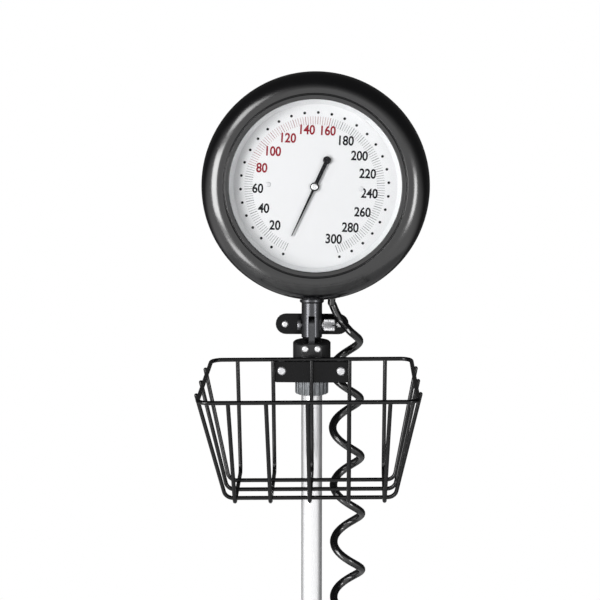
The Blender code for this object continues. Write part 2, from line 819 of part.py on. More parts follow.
PLATE_BACK = BRACKET_FRONT + GAP
PLATE_FRONT = PLATE_BACK + BASKET_PLATE_THICKNESS
FACET_BACK = REAR_PLATE_FRONT - GAP


def tab(half, low, high, radius):
    """Outline of a plate with square upper corners and round lower ones."""
    start = arc((-half + radius, low + radius), radius, math.pi, 1.5 * math.pi, 3)
    end = arc((half - radius, low + radius), radius, 1.5 * math.pi, math.tau, 3)
    return [(half, high), (-half, high)] + start + end


def make_collar():
    """Sleeve with a front flange, two small facets and the screws into the tongue's spigot."""
    sleeve = [
        (HEAD_BORE, COLLAR_TOP),
        (COLLAR_RADIUS - COLLAR_CHAMFER, COLLAR_TOP),
        (COLLAR_RADIUS, COLLAR_TOP - COLLAR_CHAMFER),
        (COLLAR_RADIUS, COLLAR_BOTTOM),
        (HEAD_BORE, COLLAR_BOTTOM),
    ]
    collar = lathe("swivel_collar", sleeve, HUB_SIDES, head, SATIN_BLACK, True)
    outline = tab(BRACKET_HALF_WIDTH, COLLAR_BOTTOM, BRACKET_TOP, BRACKET_CORNER)
    flange = slab("flange", [outline], COLLAR_FACET, BRACKET_FRONT, head, None, True, FRONTWARD)
    facet_low = (-COLLAR_RADIUS, -COLLAR_RADIUS - OVERRUN, COLLAR_FACET_FOOT)
    facet_high = (COLLAR_RADIUS, -COLLAR_FACET, COLLAR_TOP + OVERRUN)
    facet = block("front_facet", facet_low, facet_high, head, None, True)
    back_low = (-COLLAR_RADIUS, FACET_BACK, COLLAR_BOTTOM - OVERRUN)
    back_high = (COLLAR_RADIUS, COLLAR_RADIUS + OVERRUN, COLLAR_TOP + OVERRUN)
    back = block("back_facet", back_low, back_high, head, None, True)
    fuse(collar, flange)
    cut(collar, facet, back)
    tongue = make_tongue()
    for side, name in ((-1.0, "left"), (1.0, "right")):
        seat = (side * COLLAR_SCREW_SIDE, -COLLAR_FACET, COLLAR_SCREW_Z)
        depth = COLLAR_SCREW_LENGTH + GAP
        for piece in (collar, tongue):
            cut(piece, screw_hole("screw_way", SCREW_SHANK, depth, head, seat, FRONTWARD))
        screw(
            "collar_screw_" + name, SCREW_HEAD, SCREW_HEAD_HEIGHT, SCREW_SHANK, COLLAR_SCREW_LENGTH,
            head, CHROME, seat, FRONTWARD,
        )
        seat = (side * BASKET_SCREW_SIDE, -PLATE_FRONT, BASKET_SCREW_Z)
        depth = PLATE_FRONT - COLLAR_FACET + OVERRUN
        cut(collar, screw_hole("plate_way", BASKET_SCREW_SHANK, depth, head, seat, FRONTWARD))
        screw(
            "basket_screw_" + name, BASKET_SCREW_HEAD, BASKET_SCREW_HEIGHT, BASKET_SCREW_SHANK,
            BASKET_SCREW_LENGTH, head, STEEL, seat, FRONTWARD,
        )
    stem_seat = (0.0, REAR_PLATE_FRONT + REAR_PLATE_THICKNESS, STEM_SCREW_Z)
    depth = STEM_SCREW_LENGTH + GAP
    cut(collar, screw_hole("stem_way", SCREW_SHANK, depth, head, stem_seat, BACKWARD))
    screw(
        "stem_screw", SCREW_HEAD, SCREW_HEAD_HEIGHT, SCREW_SHANK, STEM_SCREW_LENGTH,
        head, CHROME, stem_seat, BACKWARD,
    )


def make_tongue():
    """The hinge's tongue: a round spigot in the collar and a flat blade in the neck's slot."""
    spigot = bar_profile(POLE_RADIUS, SPIGOT_BOTTOM, COLLAR_TOP)
    tongue = lathe("hinge_tongue", spigot, TUBE_SIDES, head, GLOSS_BLACK)
    depth = OVERRUN - COLLAR_TOP
    round_end = arc((0.0, 0.0), TONGUE_ROUND, QUARTER, 3.0 * QUARTER, SMALL_SIDES)
    outline = round_end + [(depth, -TONGUE_ROUND), (depth, TONGUE_ROUND)]
    half = TONGUE_THICKNESS / 2.0
    blade = slab("blade", [outline], -half, half, head, None, True, ALONG_X)
    fuse(tongue, blade)
    cut(tongue, bolt_hole(TONGUE_THICKNESS, head))
    return tongue


def bolt_hole(half_length, parent):
    """The hole for the hinge bolt, along X through the tilt axis."""
    radius = BOLT_RADIUS + GAP
    here = (0.0, 0.0, 0.0)
    return turned_tool("bolt_way", radius, -half_length, half_length, SMALL_SIDES, parent, here, ALONG_X)


def make_rear_plate():
    """The long plate behind the collar, on a stem that is screwed to the collar's back."""
    end = REAR_PLATE_HEIGHT / 2.0
    straight = REAR_PLATE_LENGTH / 2.0 - end
    right = arc((straight, REAR_PLATE_Z), end, -QUARTER, QUARTER, 10)
    left = arc((-straight, REAR_PLATE_Z), end, QUARTER, 3.0 * QUARTER, 10)
    back = REAR_PLATE_FRONT + REAR_PLATE_THICKNESS
    plate = slab("rear_plate", [right + left], -back, -REAR_PLATE_FRONT, head, SATIN_BLACK, False, FRONTWARD)
    stem_low = (-REAR_STEM_HALF, REAR_PLATE_FRONT, REAR_STEM_FOOT)
    stem_high = (REAR_STEM_HALF, back, REAR_PLATE_Z)
    fuse(plate, block("stem", stem_low, stem_high, head, None, True))
    seat = (0.0, back, STEM_SCREW_Z)
    depth = REAR_PLATE_THICKNESS + OVERRUN
    cut(plate, screw_hole("stem_way", SCREW_SHANK, depth, head, seat, BACKWARD))
    for side, name in ((-1.0, "left"), (1.0, "right")):
        seat = (side * REAR_SCREW_SIDE, REAR_PLATE_FRONT, REAR_PLATE_Z)
        cut(plate, screw_hole("plate_way", REAR_SCREW_SHANK, depth, head, seat, FRONTWARD))
        screw(
            "rear_plate_screw_" + name, REAR_SCREW_HEAD, SCREW_HEAD_HEIGHT, REAR_SCREW_SHANK,
            REAR_SCREW_LENGTH, head, CHROME, seat, FRONTWARD,
        )


def make_clamp_nut():
    """The knurled nut that clamps the collar on the pole."""
    top = COLLAR_BOTTOM - GAP
    grip = ribbed(NUT_RADIUS, NUT_VALLEY, NUT_RIBS)
    nut = slab("clamp_nut", [grip], top - NUT_HEIGHT, top, head, NYLON_BLACK)
    low = top - NUT_HEIGHT - OVERRUN
    cut(nut, turned_tool("nut_bore", HEAD_BORE, low, top + OVERRUN, TUBE_SIDES, head))


# Basket

BASKET_BACK = PLATE_FRONT + GAP + RIM_WIRE


def make_basket_plate():
    """The plate that the two big screws hold against the flange."""
    outline = tab(BRACKET_HALF_WIDTH, COLLAR_BOTTOM, BRACKET_TOP, BRACKET_CORNER)
    plate = slab("basket_plate", [outline], PLATE_BACK, PLATE_FRONT, head, GLOSS_BLACK, False, FRONTWARD)
    for side in (-1.0, 1.0):
        seat = (side * BASKET_SCREW_SIDE, -PLATE_FRONT, BASKET_SCREW_Z)
        depth = BASKET_PLATE_THICKNESS + OVERRUN
        cut(plate, screw_hole("plate_way", BASKET_SCREW_SHANK, depth, head, seat, FRONTWARD))


def hung(points):
    """Points of the basket, which hangs a little lower on its left."""
    pivot = Vector((0.0, 0.0, RIM_Z))
    lean = Matrix.Rotation(-BASKET_LEAN, 3, "Y")
    return [pivot + lean @ (Vector(p) - pivot) for p in points]


def make_basket():
    """A rim, five wires from back to front and three from side to side, welded together."""
    front_z = RIM_Z - RIM_FALL
    rim = hung([
        (-RIM_BACK_HALF, -BASKET_BACK, RIM_Z),
        (RIM_BACK_HALF, -BASKET_BACK, RIM_Z),
        (RIM_FRONT_HALF, -RIM_FRONT, front_z),
        (-RIM_FRONT_HALF, -RIM_FRONT, front_z),
    ])
    basket = wire("basket", fillet(rim, RIM_CORNER, 3, True), RIM_WIRE, head, GLOSS_BLACK, True)
    for back, foot, front in zip(LONG_WIRES_BACK, LONG_WIRES_FOOT, LONG_WIRES_FRONT):
        path = hung([
            (back, -BASKET_BACK, RIM_Z),
            (foot, -BASKET_BACK, FLOOR_Z),
            (foot, -FLOOR_FRONT, FLOOR_Z),
            (front, -RIM_FRONT, front_z),
        ])
        fuse(basket, wire("long_wire", fillet(path, WIRE_BEND, 3), WIRE, head, None, False, 2, True))
    on_top = FLOOR_Z + 2.0 * WIRE - WELD
    widening = RIM_FRONT_HALF - RIM_BACK_HALF
    for at_rim, at_floor in zip(BARS_AT_RIM, BARS_AT_FLOOR):
        along = (at_rim - BASKET_BACK) / (RIM_FRONT - BASKET_BACK)
        bar_top = RIM_Z - RIM_FALL * along + BAR_RISE
        outside = RIM_BACK_HALF + widening * along + RIM_WIRE + WIRE - WELD
        path = hung([
            (-outside, -at_rim, bar_top),
            (-FLOOR_HALF_WIDTH, -at_floor, on_top),
            (FLOOR_HALF_WIDTH, -at_floor, on_top),
            (outside, -at_rim, bar_top),
        ])
        fuse(basket, wire("cross_wire", fillet(path, WIRE_BEND, 3), WIRE, head, None, False, 2, True))



# Gauge. Its frame leans from the neck's top, and the dial is turned a little further.

GAUGE_RISE = RIM_RADIUS + GAP
gauge = empty(
    "gauge_axis", tilt,
    (GAUGE_RISE * math.sin(GAUGE_LEAN), -GAUGE_FORWARD, NECK_TOP + GAUGE_RISE * math.cos(GAUGE_LEAN)),
    (QUARTER, GAUGE_LEAN, 0.0),
)
dial = empty("dial_axis", gauge, (*DIAL_SHIFT, 0.0), (0.0, 0.0, -DIAL_TURN))
NECK_LINE = (0.0, 0.0, -GAUGE_FORWARD)
CASE_INNER = CASE_RADIUS - CASE_WALL
BOSS_ROOT = -CASE_RADIUS + CASE_WALL / 2.0
BOSS_FACE = -CASE_RADIUS + NECK_BOSS_LENGTH
FLANGE_FRONT = CASE_BACK + CASE_WALL
COVER_FRONT = CASE_BACK - GAP
COVER_BACK = COVER_FRONT - COVER_THICKNESS
DIAL_BACK = DIAL_FRONT - DIAL_THICKNESS
RING_BACK = DIAL_FRONT + GAP
LENS_FRONT = LIP_BACK - GAP
LENS_BACK = LENS_FRONT - LENS_THICKNESS
RING_FRONT = LENS_BACK - GAP


def make_neck():
    """The neck post with its cheeks, its flared top and the leaning spigot that holds the case."""
    flare = NECK_TOP - NECK_RIM_HEIGHT
    post_profile = [
        (0.0, NECK_TOP),
        (NECK_RIM_RADIUS, NECK_TOP),
        (NECK_RIM_RADIUS, flare),
        (NECK_RADIUS, flare - NECK_FLARE_HEIGHT),
        (NECK_RADIUS, NECK_FOOT + NECK_CHAMFER),
        (NECK_RADIUS - NECK_CHAMFER, NECK_FOOT),
        (0.0, NECK_FOOT),
    ]
    post = lathe("neck_post", post_profile, HUB_SIDES, tilt, SATIN_BLACK)
    neck_in = -GAUGE_RISE - OVERRUN / 2.0
    shoulder = -CASE_RADIUS - GAP
    spigot_profile = [
        (0.0, shoulder + NECK_SPIGOT_LENGTH),
        (NECK_SPIGOT_RADIUS, shoulder + NECK_SPIGOT_LENGTH),
        (NECK_SPIGOT_RADIUS, shoulder),
        (NECK_SHOULDER_RADIUS, shoulder),
        (NECK_SHOULDER_RADIUS, neck_in),
        (0.0, neck_in),
    ]
    spigot = lathe("neck_spigot", spigot_profile, TUBE_SIDES, gauge, None, False, True, BACKWARD)
    at(spigot, NECK_LINE)
    fuse(post, spigot)
    half = TONGUE_THICKNESS / 2.0 + GAP
    slot_low = (-half, -NECK_RADIUS - OVERRUN, NECK_FOOT - OVERRUN)
    slot_high = (half, NECK_RADIUS + OVERRUN, SLOT_TOP)
    cut(post, block("slot", slot_low, slot_high, tilt, None, True))
    cut(post, bolt_hole(NECK_RADIUS + OVERRUN, tilt))
    nut_low = BOSS_FACE + GAP
    hexagon = circle(NECK_NUT_RADIUS, 6)
    bore = circle(NECK_SPIGOT_RADIUS + GAP, TUBE_SIDES)
    nut = slab("neck_nut", [hexagon, bore], nut_low, nut_low + NECK_NUT_HEIGHT, gauge, STEEL, False, BACKWARD)
    at(nut, NECK_LINE)


def make_hinge_bolt():
    """The bolt along the tilt axis and its knob."""
    head_end = -BOLT_HEAD_FACE - BOLT_HEAD
    profile = [
        (0.0, BOLT_TIP),
        (BOLT_RADIUS, BOLT_TIP),
        (BOLT_RADIUS, -BOLT_HEAD_FACE),
        (BOLT_HEAD_RADIUS, -BOLT_HEAD_FACE),
        (BOLT_HEAD_RADIUS, head_end + BOLT_HEAD_CHAMFER),
        (BOLT_HEAD_RADIUS - BOLT_HEAD_CHAMFER, head_end),
        (0.0, head_end),
    ]
    lathe("hinge_bolt", profile, SMALL_SIDES, tilt, GLOSS_BLACK, False, False, ALONG_X)
    end = KNOB_FACE + KNOB_LENGTH
    grip = ribbed(KNOB_RADIUS, KNOB_VALLEY, KNOB_RIBS)
    knob = slab("tilt_knob", [grip], KNOB_FACE, end, tilt, CHROME, False, ALONG_X)
    here = (0.0, 0.0, 0.0)
    boss_in = KNOB_FACE + OVERRUN
    boss = turned_tool(
        "knob_boss", KNOB_BOSS_RADIUS, KNOB_BOSS_FACE, boss_in, TUBE_SIDES, tilt, here, ALONG_X,
    )
    fuse(knob, boss)
    bore = BOLT_RADIUS + GAP
    start = KNOB_BOSS_FACE - OVERRUN
    cut(knob, turned_tool("knob_bore", bore, start, BOLT_TIP + GAP, SMALL_SIDES, tilt, here, ALONG_X))
    across = KNOB_RADIUS + OVERRUN
    slot_low = (end - KNOB_SLOT_DEPTH, -across, -KNOB_SLOT / 2.0)
    cut(knob, block("knob_slot", slot_low, (end + OVERRUN, across, KNOB_SLOT / 2.0), tilt, None, True))


def make_case():
    """The drum with its inner flange and neck boss, the back cover and the cover's screws."""
    drum = [
        (CASE_INNER, CASE_FRONT),
        (CASE_RADIUS, CASE_FRONT),
        (CASE_RADIUS, CASE_BACK),
        (CASE_FLANGE_RADIUS, CASE_BACK),
        (CASE_FLANGE_RADIUS, FLANGE_FRONT),
        (CASE_INNER, FLANGE_FRONT),
    ]
    case = lathe("gauge_case", drum, BIG_SIDES, gauge, SATIN_BLACK, True)
    boss_radius = NECK_BOSS_RADIUS
    boss = turned_tool("neck_boss", boss_radius, BOSS_ROOT, BOSS_FACE, TUBE_SIDES, gauge, NECK_LINE, BACKWARD)
    fuse(case, boss)
    bore = NECK_SPIGOT_RADIUS + GAP
    start = -CASE_RADIUS - OVERRUN
    end = BOSS_FACE + OVERRUN
    cut(case, turned_tool("neck_bore", bore, start, end, TUBE_SIDES, gauge, NECK_LINE, BACKWARD))
    inlet_way = GLAND_STEM_RADIUS + GAP
    inlet_at = (INLET_SIDE, 0.0, INLET_Z)
    cut(case, turned_tool("inlet_way", inlet_way, start, end, SMALL_SIDES, gauge, inlet_at, BACKWARD))
    cover_profile = bar_profile(COVER_RADIUS, COVER_BACK, COVER_FRONT)
    cover = lathe("back_cover", cover_profile, BIG_SIDES, gauge, SATIN_BLACK)
    for i in range(BACK_SCREWS):
        angle = QUARTER + math.tau * i / BACK_SCREWS
        seat = (BACK_SCREW_CIRCLE * math.cos(angle), BACK_SCREW_CIRCLE * math.sin(angle), COVER_BACK)
        depth = BACK_SCREW_LENGTH + OVERRUN
        for piece in (case, cover):
            cut(piece, screw_hole("cover_way", SCREW_SHANK, depth, gauge, seat, FLIPPED))
        screw(
            "back_screw_%d" % (i + 1), SCREW_HEAD, SCREW_HEAD_HEIGHT, SCREW_SHANK, BACK_SCREW_LENGTH,
            gauge, STEEL, seat, FLIPPED,
        )


def make_bezel():
    """The wide rounded rim round the lens, a shell that fits over the drum."""
    groove = LIP_RADIUS + GROOVE_INSET
    seat = CASE_RADIUS + GAP
    profile = [
        (LIP_RADIUS, LIP_EDGE),
        (groove - GROOVE_HALF, GROOVE_EDGE),
        (groove, GROOVE_EDGE - GROOVE_DEPTH),
        (groove + GROOVE_HALF, GROOVE_EDGE),
        (LIP_RADIUS + CREST_WIDTH, CREST),
        (RIM_RADIUS - RIM_SLOPE_INSET, RIM_SLOPE),
        (RIM_RADIUS - RIM_ROUND_INSET, RIM_ROUND),
        (RIM_RADIUS - RIM_SHOULDER_INSET, RIM_SHOULDER),
        (RIM_RADIUS, RIM_HIGH),
        (RIM_RADIUS, RIM_LOW),
        (RIM_RADIUS - RIM_SKIRT_INSET, RIM_SKIRT),
        (seat, RIM_SKIRT),
        (seat, SHELL_FOOT),
        (CASE_RADIUS - SHELL_SHOULDER_INSET, SHELL_SHOULDER),
        (LIP_SEAT_RADIUS + SHELL_WIDTH, SHELL),
        (LIP_SEAT_RADIUS, LIP_BACK),
        (LIP_RADIUS, LIP_BACK),
    ]
    lathe("bezel_ring", profile, BIG_SIDES, gauge, SATIN_BLACK, True)


def make_face():
    """Lens, spacer ring, dial plate and the two screws that hold the plate on the pillars."""
    lathe("lens", bar_profile(LENS_RADIUS, LENS_BACK, LENS_FRONT), BIG_SIDES, gauge, GLASS)
    ring = [
        (RING_FRONT_RADIUS, RING_FRONT),
        (LENS_RADIUS, RING_FRONT),
        (LENS_RADIUS, RING_BACK),
        (RING_BACK_RADIUS, RING_BACK),
    ]
    lathe("dial_ring", ring, BIG_SIDES, gauge, SILVER_RING, True)
    outlines = [circle(DIAL_RADIUS, BIG_SIDES), circle(DIAL_BORE, SMALL_SIDES)]
    way = DIAL_SCREW_SHANK + GAP
    for side in (-1.0, 1.0):
        outlines.append(circle(way, SMALL_SIDES, (side * DIAL_SCREW_SIDE, 0.0)))
    slab("dial_plate", outlines, DIAL_BACK, DIAL_FRONT, dial, DIAL_WHITE)
    for side, name in ((-1.0, "left"), (1.0, "right")):
        seat = (side * DIAL_SCREW_SIDE, 0.0, DIAL_FRONT)
        screw(
            "dial_screw_" + name, DIAL_SCREW_HEAD, DIAL_SCREW_HEIGHT, DIAL_SCREW_SHANK,
            DIAL_SCREW_LENGTH, dial, STEEL, seat, (0.0, 0.0, 0.0),
        )


# Movement

FRAME_BACK = FLANGE_FRONT + GAP
FRAME_FRONT = FRAME_BACK + FRAME_THICKNESS
PINION_RADIUS = GEAR_MODULE * PINION_TEETH / 2.0
SECTOR_RADIUS = GEAR_MODULE * SECTOR_ROUND_TEETH / 2.0
SECTOR_X = -(PINION_RADIUS + SECTOR_RADIUS)
GEAR_FRONT = GEAR_BACK + GEAR_THICKNESS
TOOTH_SHARES = ((-0.20, 0.0), (-0.09, 1.0), (0.09, 1.0), (0.20, 0.0))


def tooth_points(radius, teeth_round, middle):
    """One tooth's outline about a middle angle."""
    pitch = math.tau / teeth_round
    low = radius - DEDENDUM
    high = radius + ADDENDUM
    points = []
    for across, up in TOOTH_SHARES:
        reach = low + (high - low) * up
        angle = middle + across * pitch
        points.append((reach * math.cos(angle), reach * math.sin(angle)))
    return points


def make_movement():
    """Frame with pillars and pivot pin, capsule, toothed sector and pinion with its arbor."""
    half = FRAME_HALF_HEIGHT
    reach = FRAME_HALF_LENGTH
    frame = block("movement_frame", (-reach, -half, FRAME_BACK), (reach, half, FRAME_FRONT), dial, STEEL)
    tongue_high = (half, 0.0, FRAME_FRONT)
    fuse(frame, block("tongue", (-half, -FRAME_TONGUE, FRAME_BACK), tongue_high, dial, None, True))
    inside = FRAME_FRONT - FRAME_THICKNESS / 2.0
    pillar_top = DIAL_BACK - GAP
    screw_way = DIAL_SCREW_SHANK + GAP
    way_low = DIAL_FRONT - DIAL_SCREW_LENGTH - OVERRUN
    pivot = (SECTOR_X, 0.0, 0.0)
    bearing_top = FRAME_FRONT + BEARING_HEIGHT
    arbor_way = ARBOR_RADIUS + GAP
    pillar = [
        (0.0, way_low),
        (screw_way, way_low),
        (screw_way, pillar_top),
        (PILLAR_RADIUS, pillar_top),
        (PILLAR_RADIUS, inside),
        (0.0, inside),
    ]
    for side in (-1.0, 1.0):
        tool = lathe("pillar", pillar, SMALL_SIDES, dial, None, False, True)
        fuse(frame, at(tool, (side * DIAL_SCREW_SIDE, 0.0, 0.0)))
    fuse(frame, turned_tool("sector_pin", SECTOR_PIN, inside, SECTOR_PIN_TIP, SMALL_SIDES, dial, pivot))
    fuse(frame, turned_tool("bearing", BEARING_RADIUS, inside, bearing_top, SMALL_SIDES, dial))
    low = FRAME_BACK - OVERRUN
    cut(frame, turned_tool("arbor_way", arbor_way, low, bearing_top + OVERRUN, SMALL_SIDES, dial))
    make_capsule()
    make_gears(pivot, arbor_way)


def make_capsule():
    """The diaphragm capsule, rippled on its front, with the button that drives the movement."""
    back = FRAME_FRONT + GAP
    front = back + CAPSULE_THICKNESS
    button_top = front + CAPSULE_BUTTON_HEIGHT
    profile = [(0.0, button_top), (CAPSULE_BUTTON, button_top), (CAPSULE_BUTTON, front)]
    step = (CAPSULE_RADIUS - CAPSULE_BUTTON) / (2.0 * CAPSULE_RIPPLES + 1.0)
    for i in range(1, 2 * CAPSULE_RIPPLES + 1):
        wave = CAPSULE_WAVE if i % 2 else 0.0
        profile.append((CAPSULE_BUTTON + step * i, front - wave))
    profile += [(CAPSULE_RADIUS, front - CAPSULE_WAVE), (CAPSULE_RADIUS, back), (0.0, back)]
    capsule = lathe("capsule", profile, HUB_SIDES, gauge, BRASS)
    at(capsule, (0.0, -CAPSULE_DROP, 0.0))


def make_gears(pivot, arbor_way):
    """The sector and the pinion, set with the pointer at the bottom of its scale."""
    step = math.tau / SECTOR_ROUND_TEETH
    first = -step * (SECTOR_TEETH - 1) / 2.0
    rim = []
    for i in range(SECTOR_TEETH):
        rim += tooth_points(SECTOR_RADIUS, SECTOR_ROUND_TEETH, first + step * i)
    back = arc((0.0, 0.0), SECTOR_HUB, QUARTER, 3.0 * QUARTER, SMALL_SIDES)
    hole = circle(SECTOR_PIN + GAP, SMALL_SIDES)
    sector = slab("sector_gear", [rim + back, hole], GEAR_BACK, GEAR_FRONT, dial, BRASS)
    at(sector, pivot)
    half_sweep = FULL_SWEEP / 2.0
    sector.rotation_euler = (0.0, 0.0, -half_sweep * PINION_TEETH / SECTOR_ROUND_TEETH)
    teeth = []
    for i in range(PINION_TEETH):
        teeth += tooth_points(PINION_RADIUS, PINION_TEETH, math.tau * i / PINION_TEETH)
    pinion = slab("pinion_arbor", [teeth], GEAR_BACK, GEAR_FRONT, dial, STEEL)
    arbor_top = POINTER_BACK + POINTER_THICKNESS + CAP_RECESS
    fuse(pinion, turned_tool("arbor", ARBOR_RADIUS, ARBOR_FOOT, arbor_top, SMALL_SIDES, dial))
    pinion.rotation_euler = (0.0, 0.0, half_sweep)


def make_pointer():
    """The pointer with its round counterweight, and the cap over its hub."""
    arm = math.asin(POINTER_ARM_HALF / POINTER_HUB)
    tail = math.asin(POINTER_TAIL_HALF / POINTER_HUB)
    weight = math.asin(POINTER_TAIL_HALF / POINTER_WEIGHT)
    outline = [(POINTER_REACH, -POINTER_TIP_HALF), (POINTER_REACH, POINTER_TIP_HALF)]
    outline += arc((0.0, 0.0), POINTER_HUB, arm, math.pi - tail, 5)
    outline += arc((-POINTER_TAIL, 0.0), POINTER_WEIGHT, weight, math.tau - weight, SMALL_SIDES)
    outline += arc((0.0, 0.0), POINTER_HUB, math.pi + tail, math.tau - arm, 5)
    hole = circle(ARBOR_RADIUS + GAP, SMALL_SIDES)
    front = POINTER_BACK + POINTER_THICKNESS
    pointer = slab("pointer", [outline, hole], POINTER_BACK, front, dial, NYLON_BLACK)
    pointer.rotation_euler = (0.0, 0.0, ZERO_ANGLE)
    low = front + GAP
    top = low + CAP_HEIGHT
    profile = [
        (0.0, top),
        (CAP_RADIUS - CAP_CHAMFER, top),
        (CAP_RADIUS, top - CAP_CHAMFER),
        (CAP_RADIUS, low),
        (ARBOR_RADIUS + GAP, low),
        (ARBOR_RADIUS + GAP, low + CAP_RECESS),
        (0.0, low + CAP_RECESS),
    ]
    lathe("pointer_cap", profile, TUBE_SIDES, dial, CHROME)


def make_inlet():
    """The gland that the hose meets and the pipe from it to the capsule."""
    profile = [
        (0.0, GLAND_STEM_TOP),
        (GLAND_STEM_RADIUS, GLAND_STEM_TOP),
        (GLAND_STEM_RADIUS, GLAND_SHOULDER),
        (GLAND_RADIUS, GLAND_SHOULDER),
        (GLAND_RADIUS, GLAND_FOOT + GLAND_CHAMFER),
        (GLAND_RADIUS - GLAND_CHAMFER, GLAND_FOOT),
        (0.0, GLAND_FOOT),
    ]
    gland = lathe("inlet_gland", profile, TUBE_SIDES, gauge, BRASS, False, False, BACKWARD)
    at(gland, (INLET_SIDE, 0.0, INLET_Z))
    mid = FRAME_FRONT + GAP + CAPSULE_THICKNESS / 2.0
    away = Vector((math.cos(PIPE_ANGLE), math.sin(PIPE_ANGLE), 0.0))
    middle = Vector((0.0, -CAPSULE_DROP, mid))
    start = Vector((INLET_SIDE, GLAND_STEM_TOP + GAP, INLET_Z))
    end = middle + away * (CAPSULE_RADIUS + GAP)
    run = (end - start).length * PIPE_RUN_SHARE
    path = [start, start + Vector((0.0, run, 0.0)), end + away * run, end]
    wire("inlet_pipe", fillet(path, PIPE_BEND, 3), PIPE_RADIUS, gauge, BRASS)


# Hose

def smooth_route(points, spacing):
    """Points at an even spacing on a smooth curve through the route, with straight ends."""
    points = [Vector(p) for p in points]
    dense = []
    for i in range(len(points) - 3):
        a, b, c, d = points[i:i + 4]
        for j in range(16):
            t = j / 16.0
            blend_in = (c - a) * t + (a * 2.0 - b * 5.0 + c * 4.0 - d) * (t * t)
            dense.append(b + (blend_in + (b * 3.0 - a - c * 3.0 + d) * (t * t * t)) / 2.0)
    dense.append(points[-2])
    total = sum((b - a).length for a, b in zip(dense, dense[1:]))
    count = max(2, round(total / spacing))
    path = [points[0], dense[0]]
    walked = 0.0
    wanted = total / count
    for a, b in zip(dense, dense[1:]):
        step = (b - a).length
        while walked + step >= wanted - MERGE and len(path) <= count:
            path.append(a + (b - a) * ((wanted - walked) / step))
            wanted += total / count
        walked += step
    return path + [dense[-1], points[-1]]


def coil_path():
    """The hanging curls. Each curl takes the same length of tube, so it widens as it closes."""
    path = []
    z = COIL_TOP + COIL_PITCH_TOP * LEAD_IN / math.tau
    steps_all = (OPEN_TURNS + CLOSING_TURNS) * CURL_POINTS
    for i in range(steps_all + 1):
        turns = i / CURL_POINTS
        share = max(0.0, (turns - OPEN_TURNS) / CLOSING_TURNS)
        pitch = COIL_PITCH_LOW + (COIL_PITCH_TOP - COIL_PITCH_LOW) * (1.0 - share ** FALL_SHARE)
        radius = math.sqrt(TURN_LENGTH ** 2 - pitch ** 2) / math.tau
        open_x = COIL_X + COIL_DRIFT * min(turns, OPEN_TURNS)
        x = open_x + (COIL_X_LOW - open_x) * share
        y = COIL_Y + (COIL_Y_LOW - COIL_Y) * share
        angle = math.tau * turns - LEAD_IN
        path.append(Vector((x + radius * math.cos(angle), y + radius * math.sin(angle), z)))
        z -= pitch / CURL_POINTS
    first = (path[0] - path[1]).normalized()
    path.insert(0, path[0] + first * (2.0 * HOSE_RADIUS))
    ahead = path[-1] - path[-2]
    ahead.z = 0.0
    ahead.normalize()
    turn_in = path[-1] + ahead * HOSE_RADIUS
    for j in range(1, TAIL_STEPS + 1):
        angle = QUARTER * j / TAIL_STEPS
        drop = Vector((0.0, 0.0, -TAIL_BEND * (1.0 - math.cos(angle))))
        path.append(turn_in + ahead * (TAIL_BEND * math.sin(angle)) + drop)
    path.append(path[-1] - Vector((0.0, 0.0, TAIL_RUN)))
    return path


def least_gap(path):
    """The least distance between two stretches of the hose's surface that are half a curl apart."""
    fine = []
    for a, b in zip(path, path[1:]):
        fine += [a, a.lerp(b, 0.25), a.lerp(b, 0.5), a.lerp(b, 0.75)]
    apart = 2 * CURL_POINTS
    least = min((fine[i] - fine[j]).length for i in range(len(fine)) for j in range(i + apart, len(fine)))
    return least - 2.0 * HOSE_RADIUS


def make_hose():
    """The lead from the gland, the hanging curls and the connector at the free end."""
    bpy.context.view_layer.update()
    to_head = head.matrix_world.inverted() @ gauge.matrix_world
    mouth = to_head @ Vector((INLET_SIDE, GLAND_FOOT - GAP, INLET_Z))
    down = to_head.to_3x3() @ Vector((0.0, -1.0, 0.0))
    curls = coil_path()
    back = (curls[0] - curls[1]).normalized()
    end = curls[0] + back * GAP
    route = [mouth, mouth + down * HOSE_RADIUS] + list(LEAD_ROUTE) + [end + back * HOSE_RADIUS, end]
    lead = smooth_route(route, LEAD_SPACING)
    wire("hose_lead", lead, HOSE_RADIUS, head, HOSE_BLACK)
    wire("hose_coil", curls, HOSE_RADIUS, head, HOSE_BLACK, False, 1)
    low = -CONNECTOR_BODY
    profile = [
        (0.0, -GAP),
        (CONNECTOR_RADIUS - CONNECTOR_CHAMFER, -GAP),
        (CONNECTOR_RADIUS, -GAP - CONNECTOR_CHAMFER),
        (CONNECTOR_RADIUS, low),
        (CONNECTOR_NOSE_RADIUS, low),
        (CONNECTOR_NOSE_RADIUS, low - CONNECTOR_NOSE),
        (0.0, low - CONNECTOR_NOSE),
    ]
    connector = lathe("hose_connector", profile, TUBE_SIDES, head, CHROME)
    at(connector, curls[-1])
    length = sum((b - a).length for a, b in zip(curls, curls[1:]))
    lead_length = sum((b - a).length for a, b in zip(lead, lead[1:]))
    print("hose curls %.3f m, lead %.3f m" % (length, lead_length))
    print("least gap of the hose to itself %.2f mm" % (least_gap(curls) * 1000.0))


make_base_hub()
for leg_index in range(LEGS):
    make_leg(leg_index)
    make_caster(leg_index)
make_pole()
make_collar()
make_rear_plate()
make_clamp_nut()
make_basket_plate()
make_basket()
make_neck()
make_hinge_bolt()
make_case()
make_bezel()
make_face()
make_movement()
make_pointer()
make_inlet()
make_hose()
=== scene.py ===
"""Looks of the stand aneroid sphygmomanometer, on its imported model."""

import bmesh
import bpy
import json
import math
from mathutils import Matrix, Vector


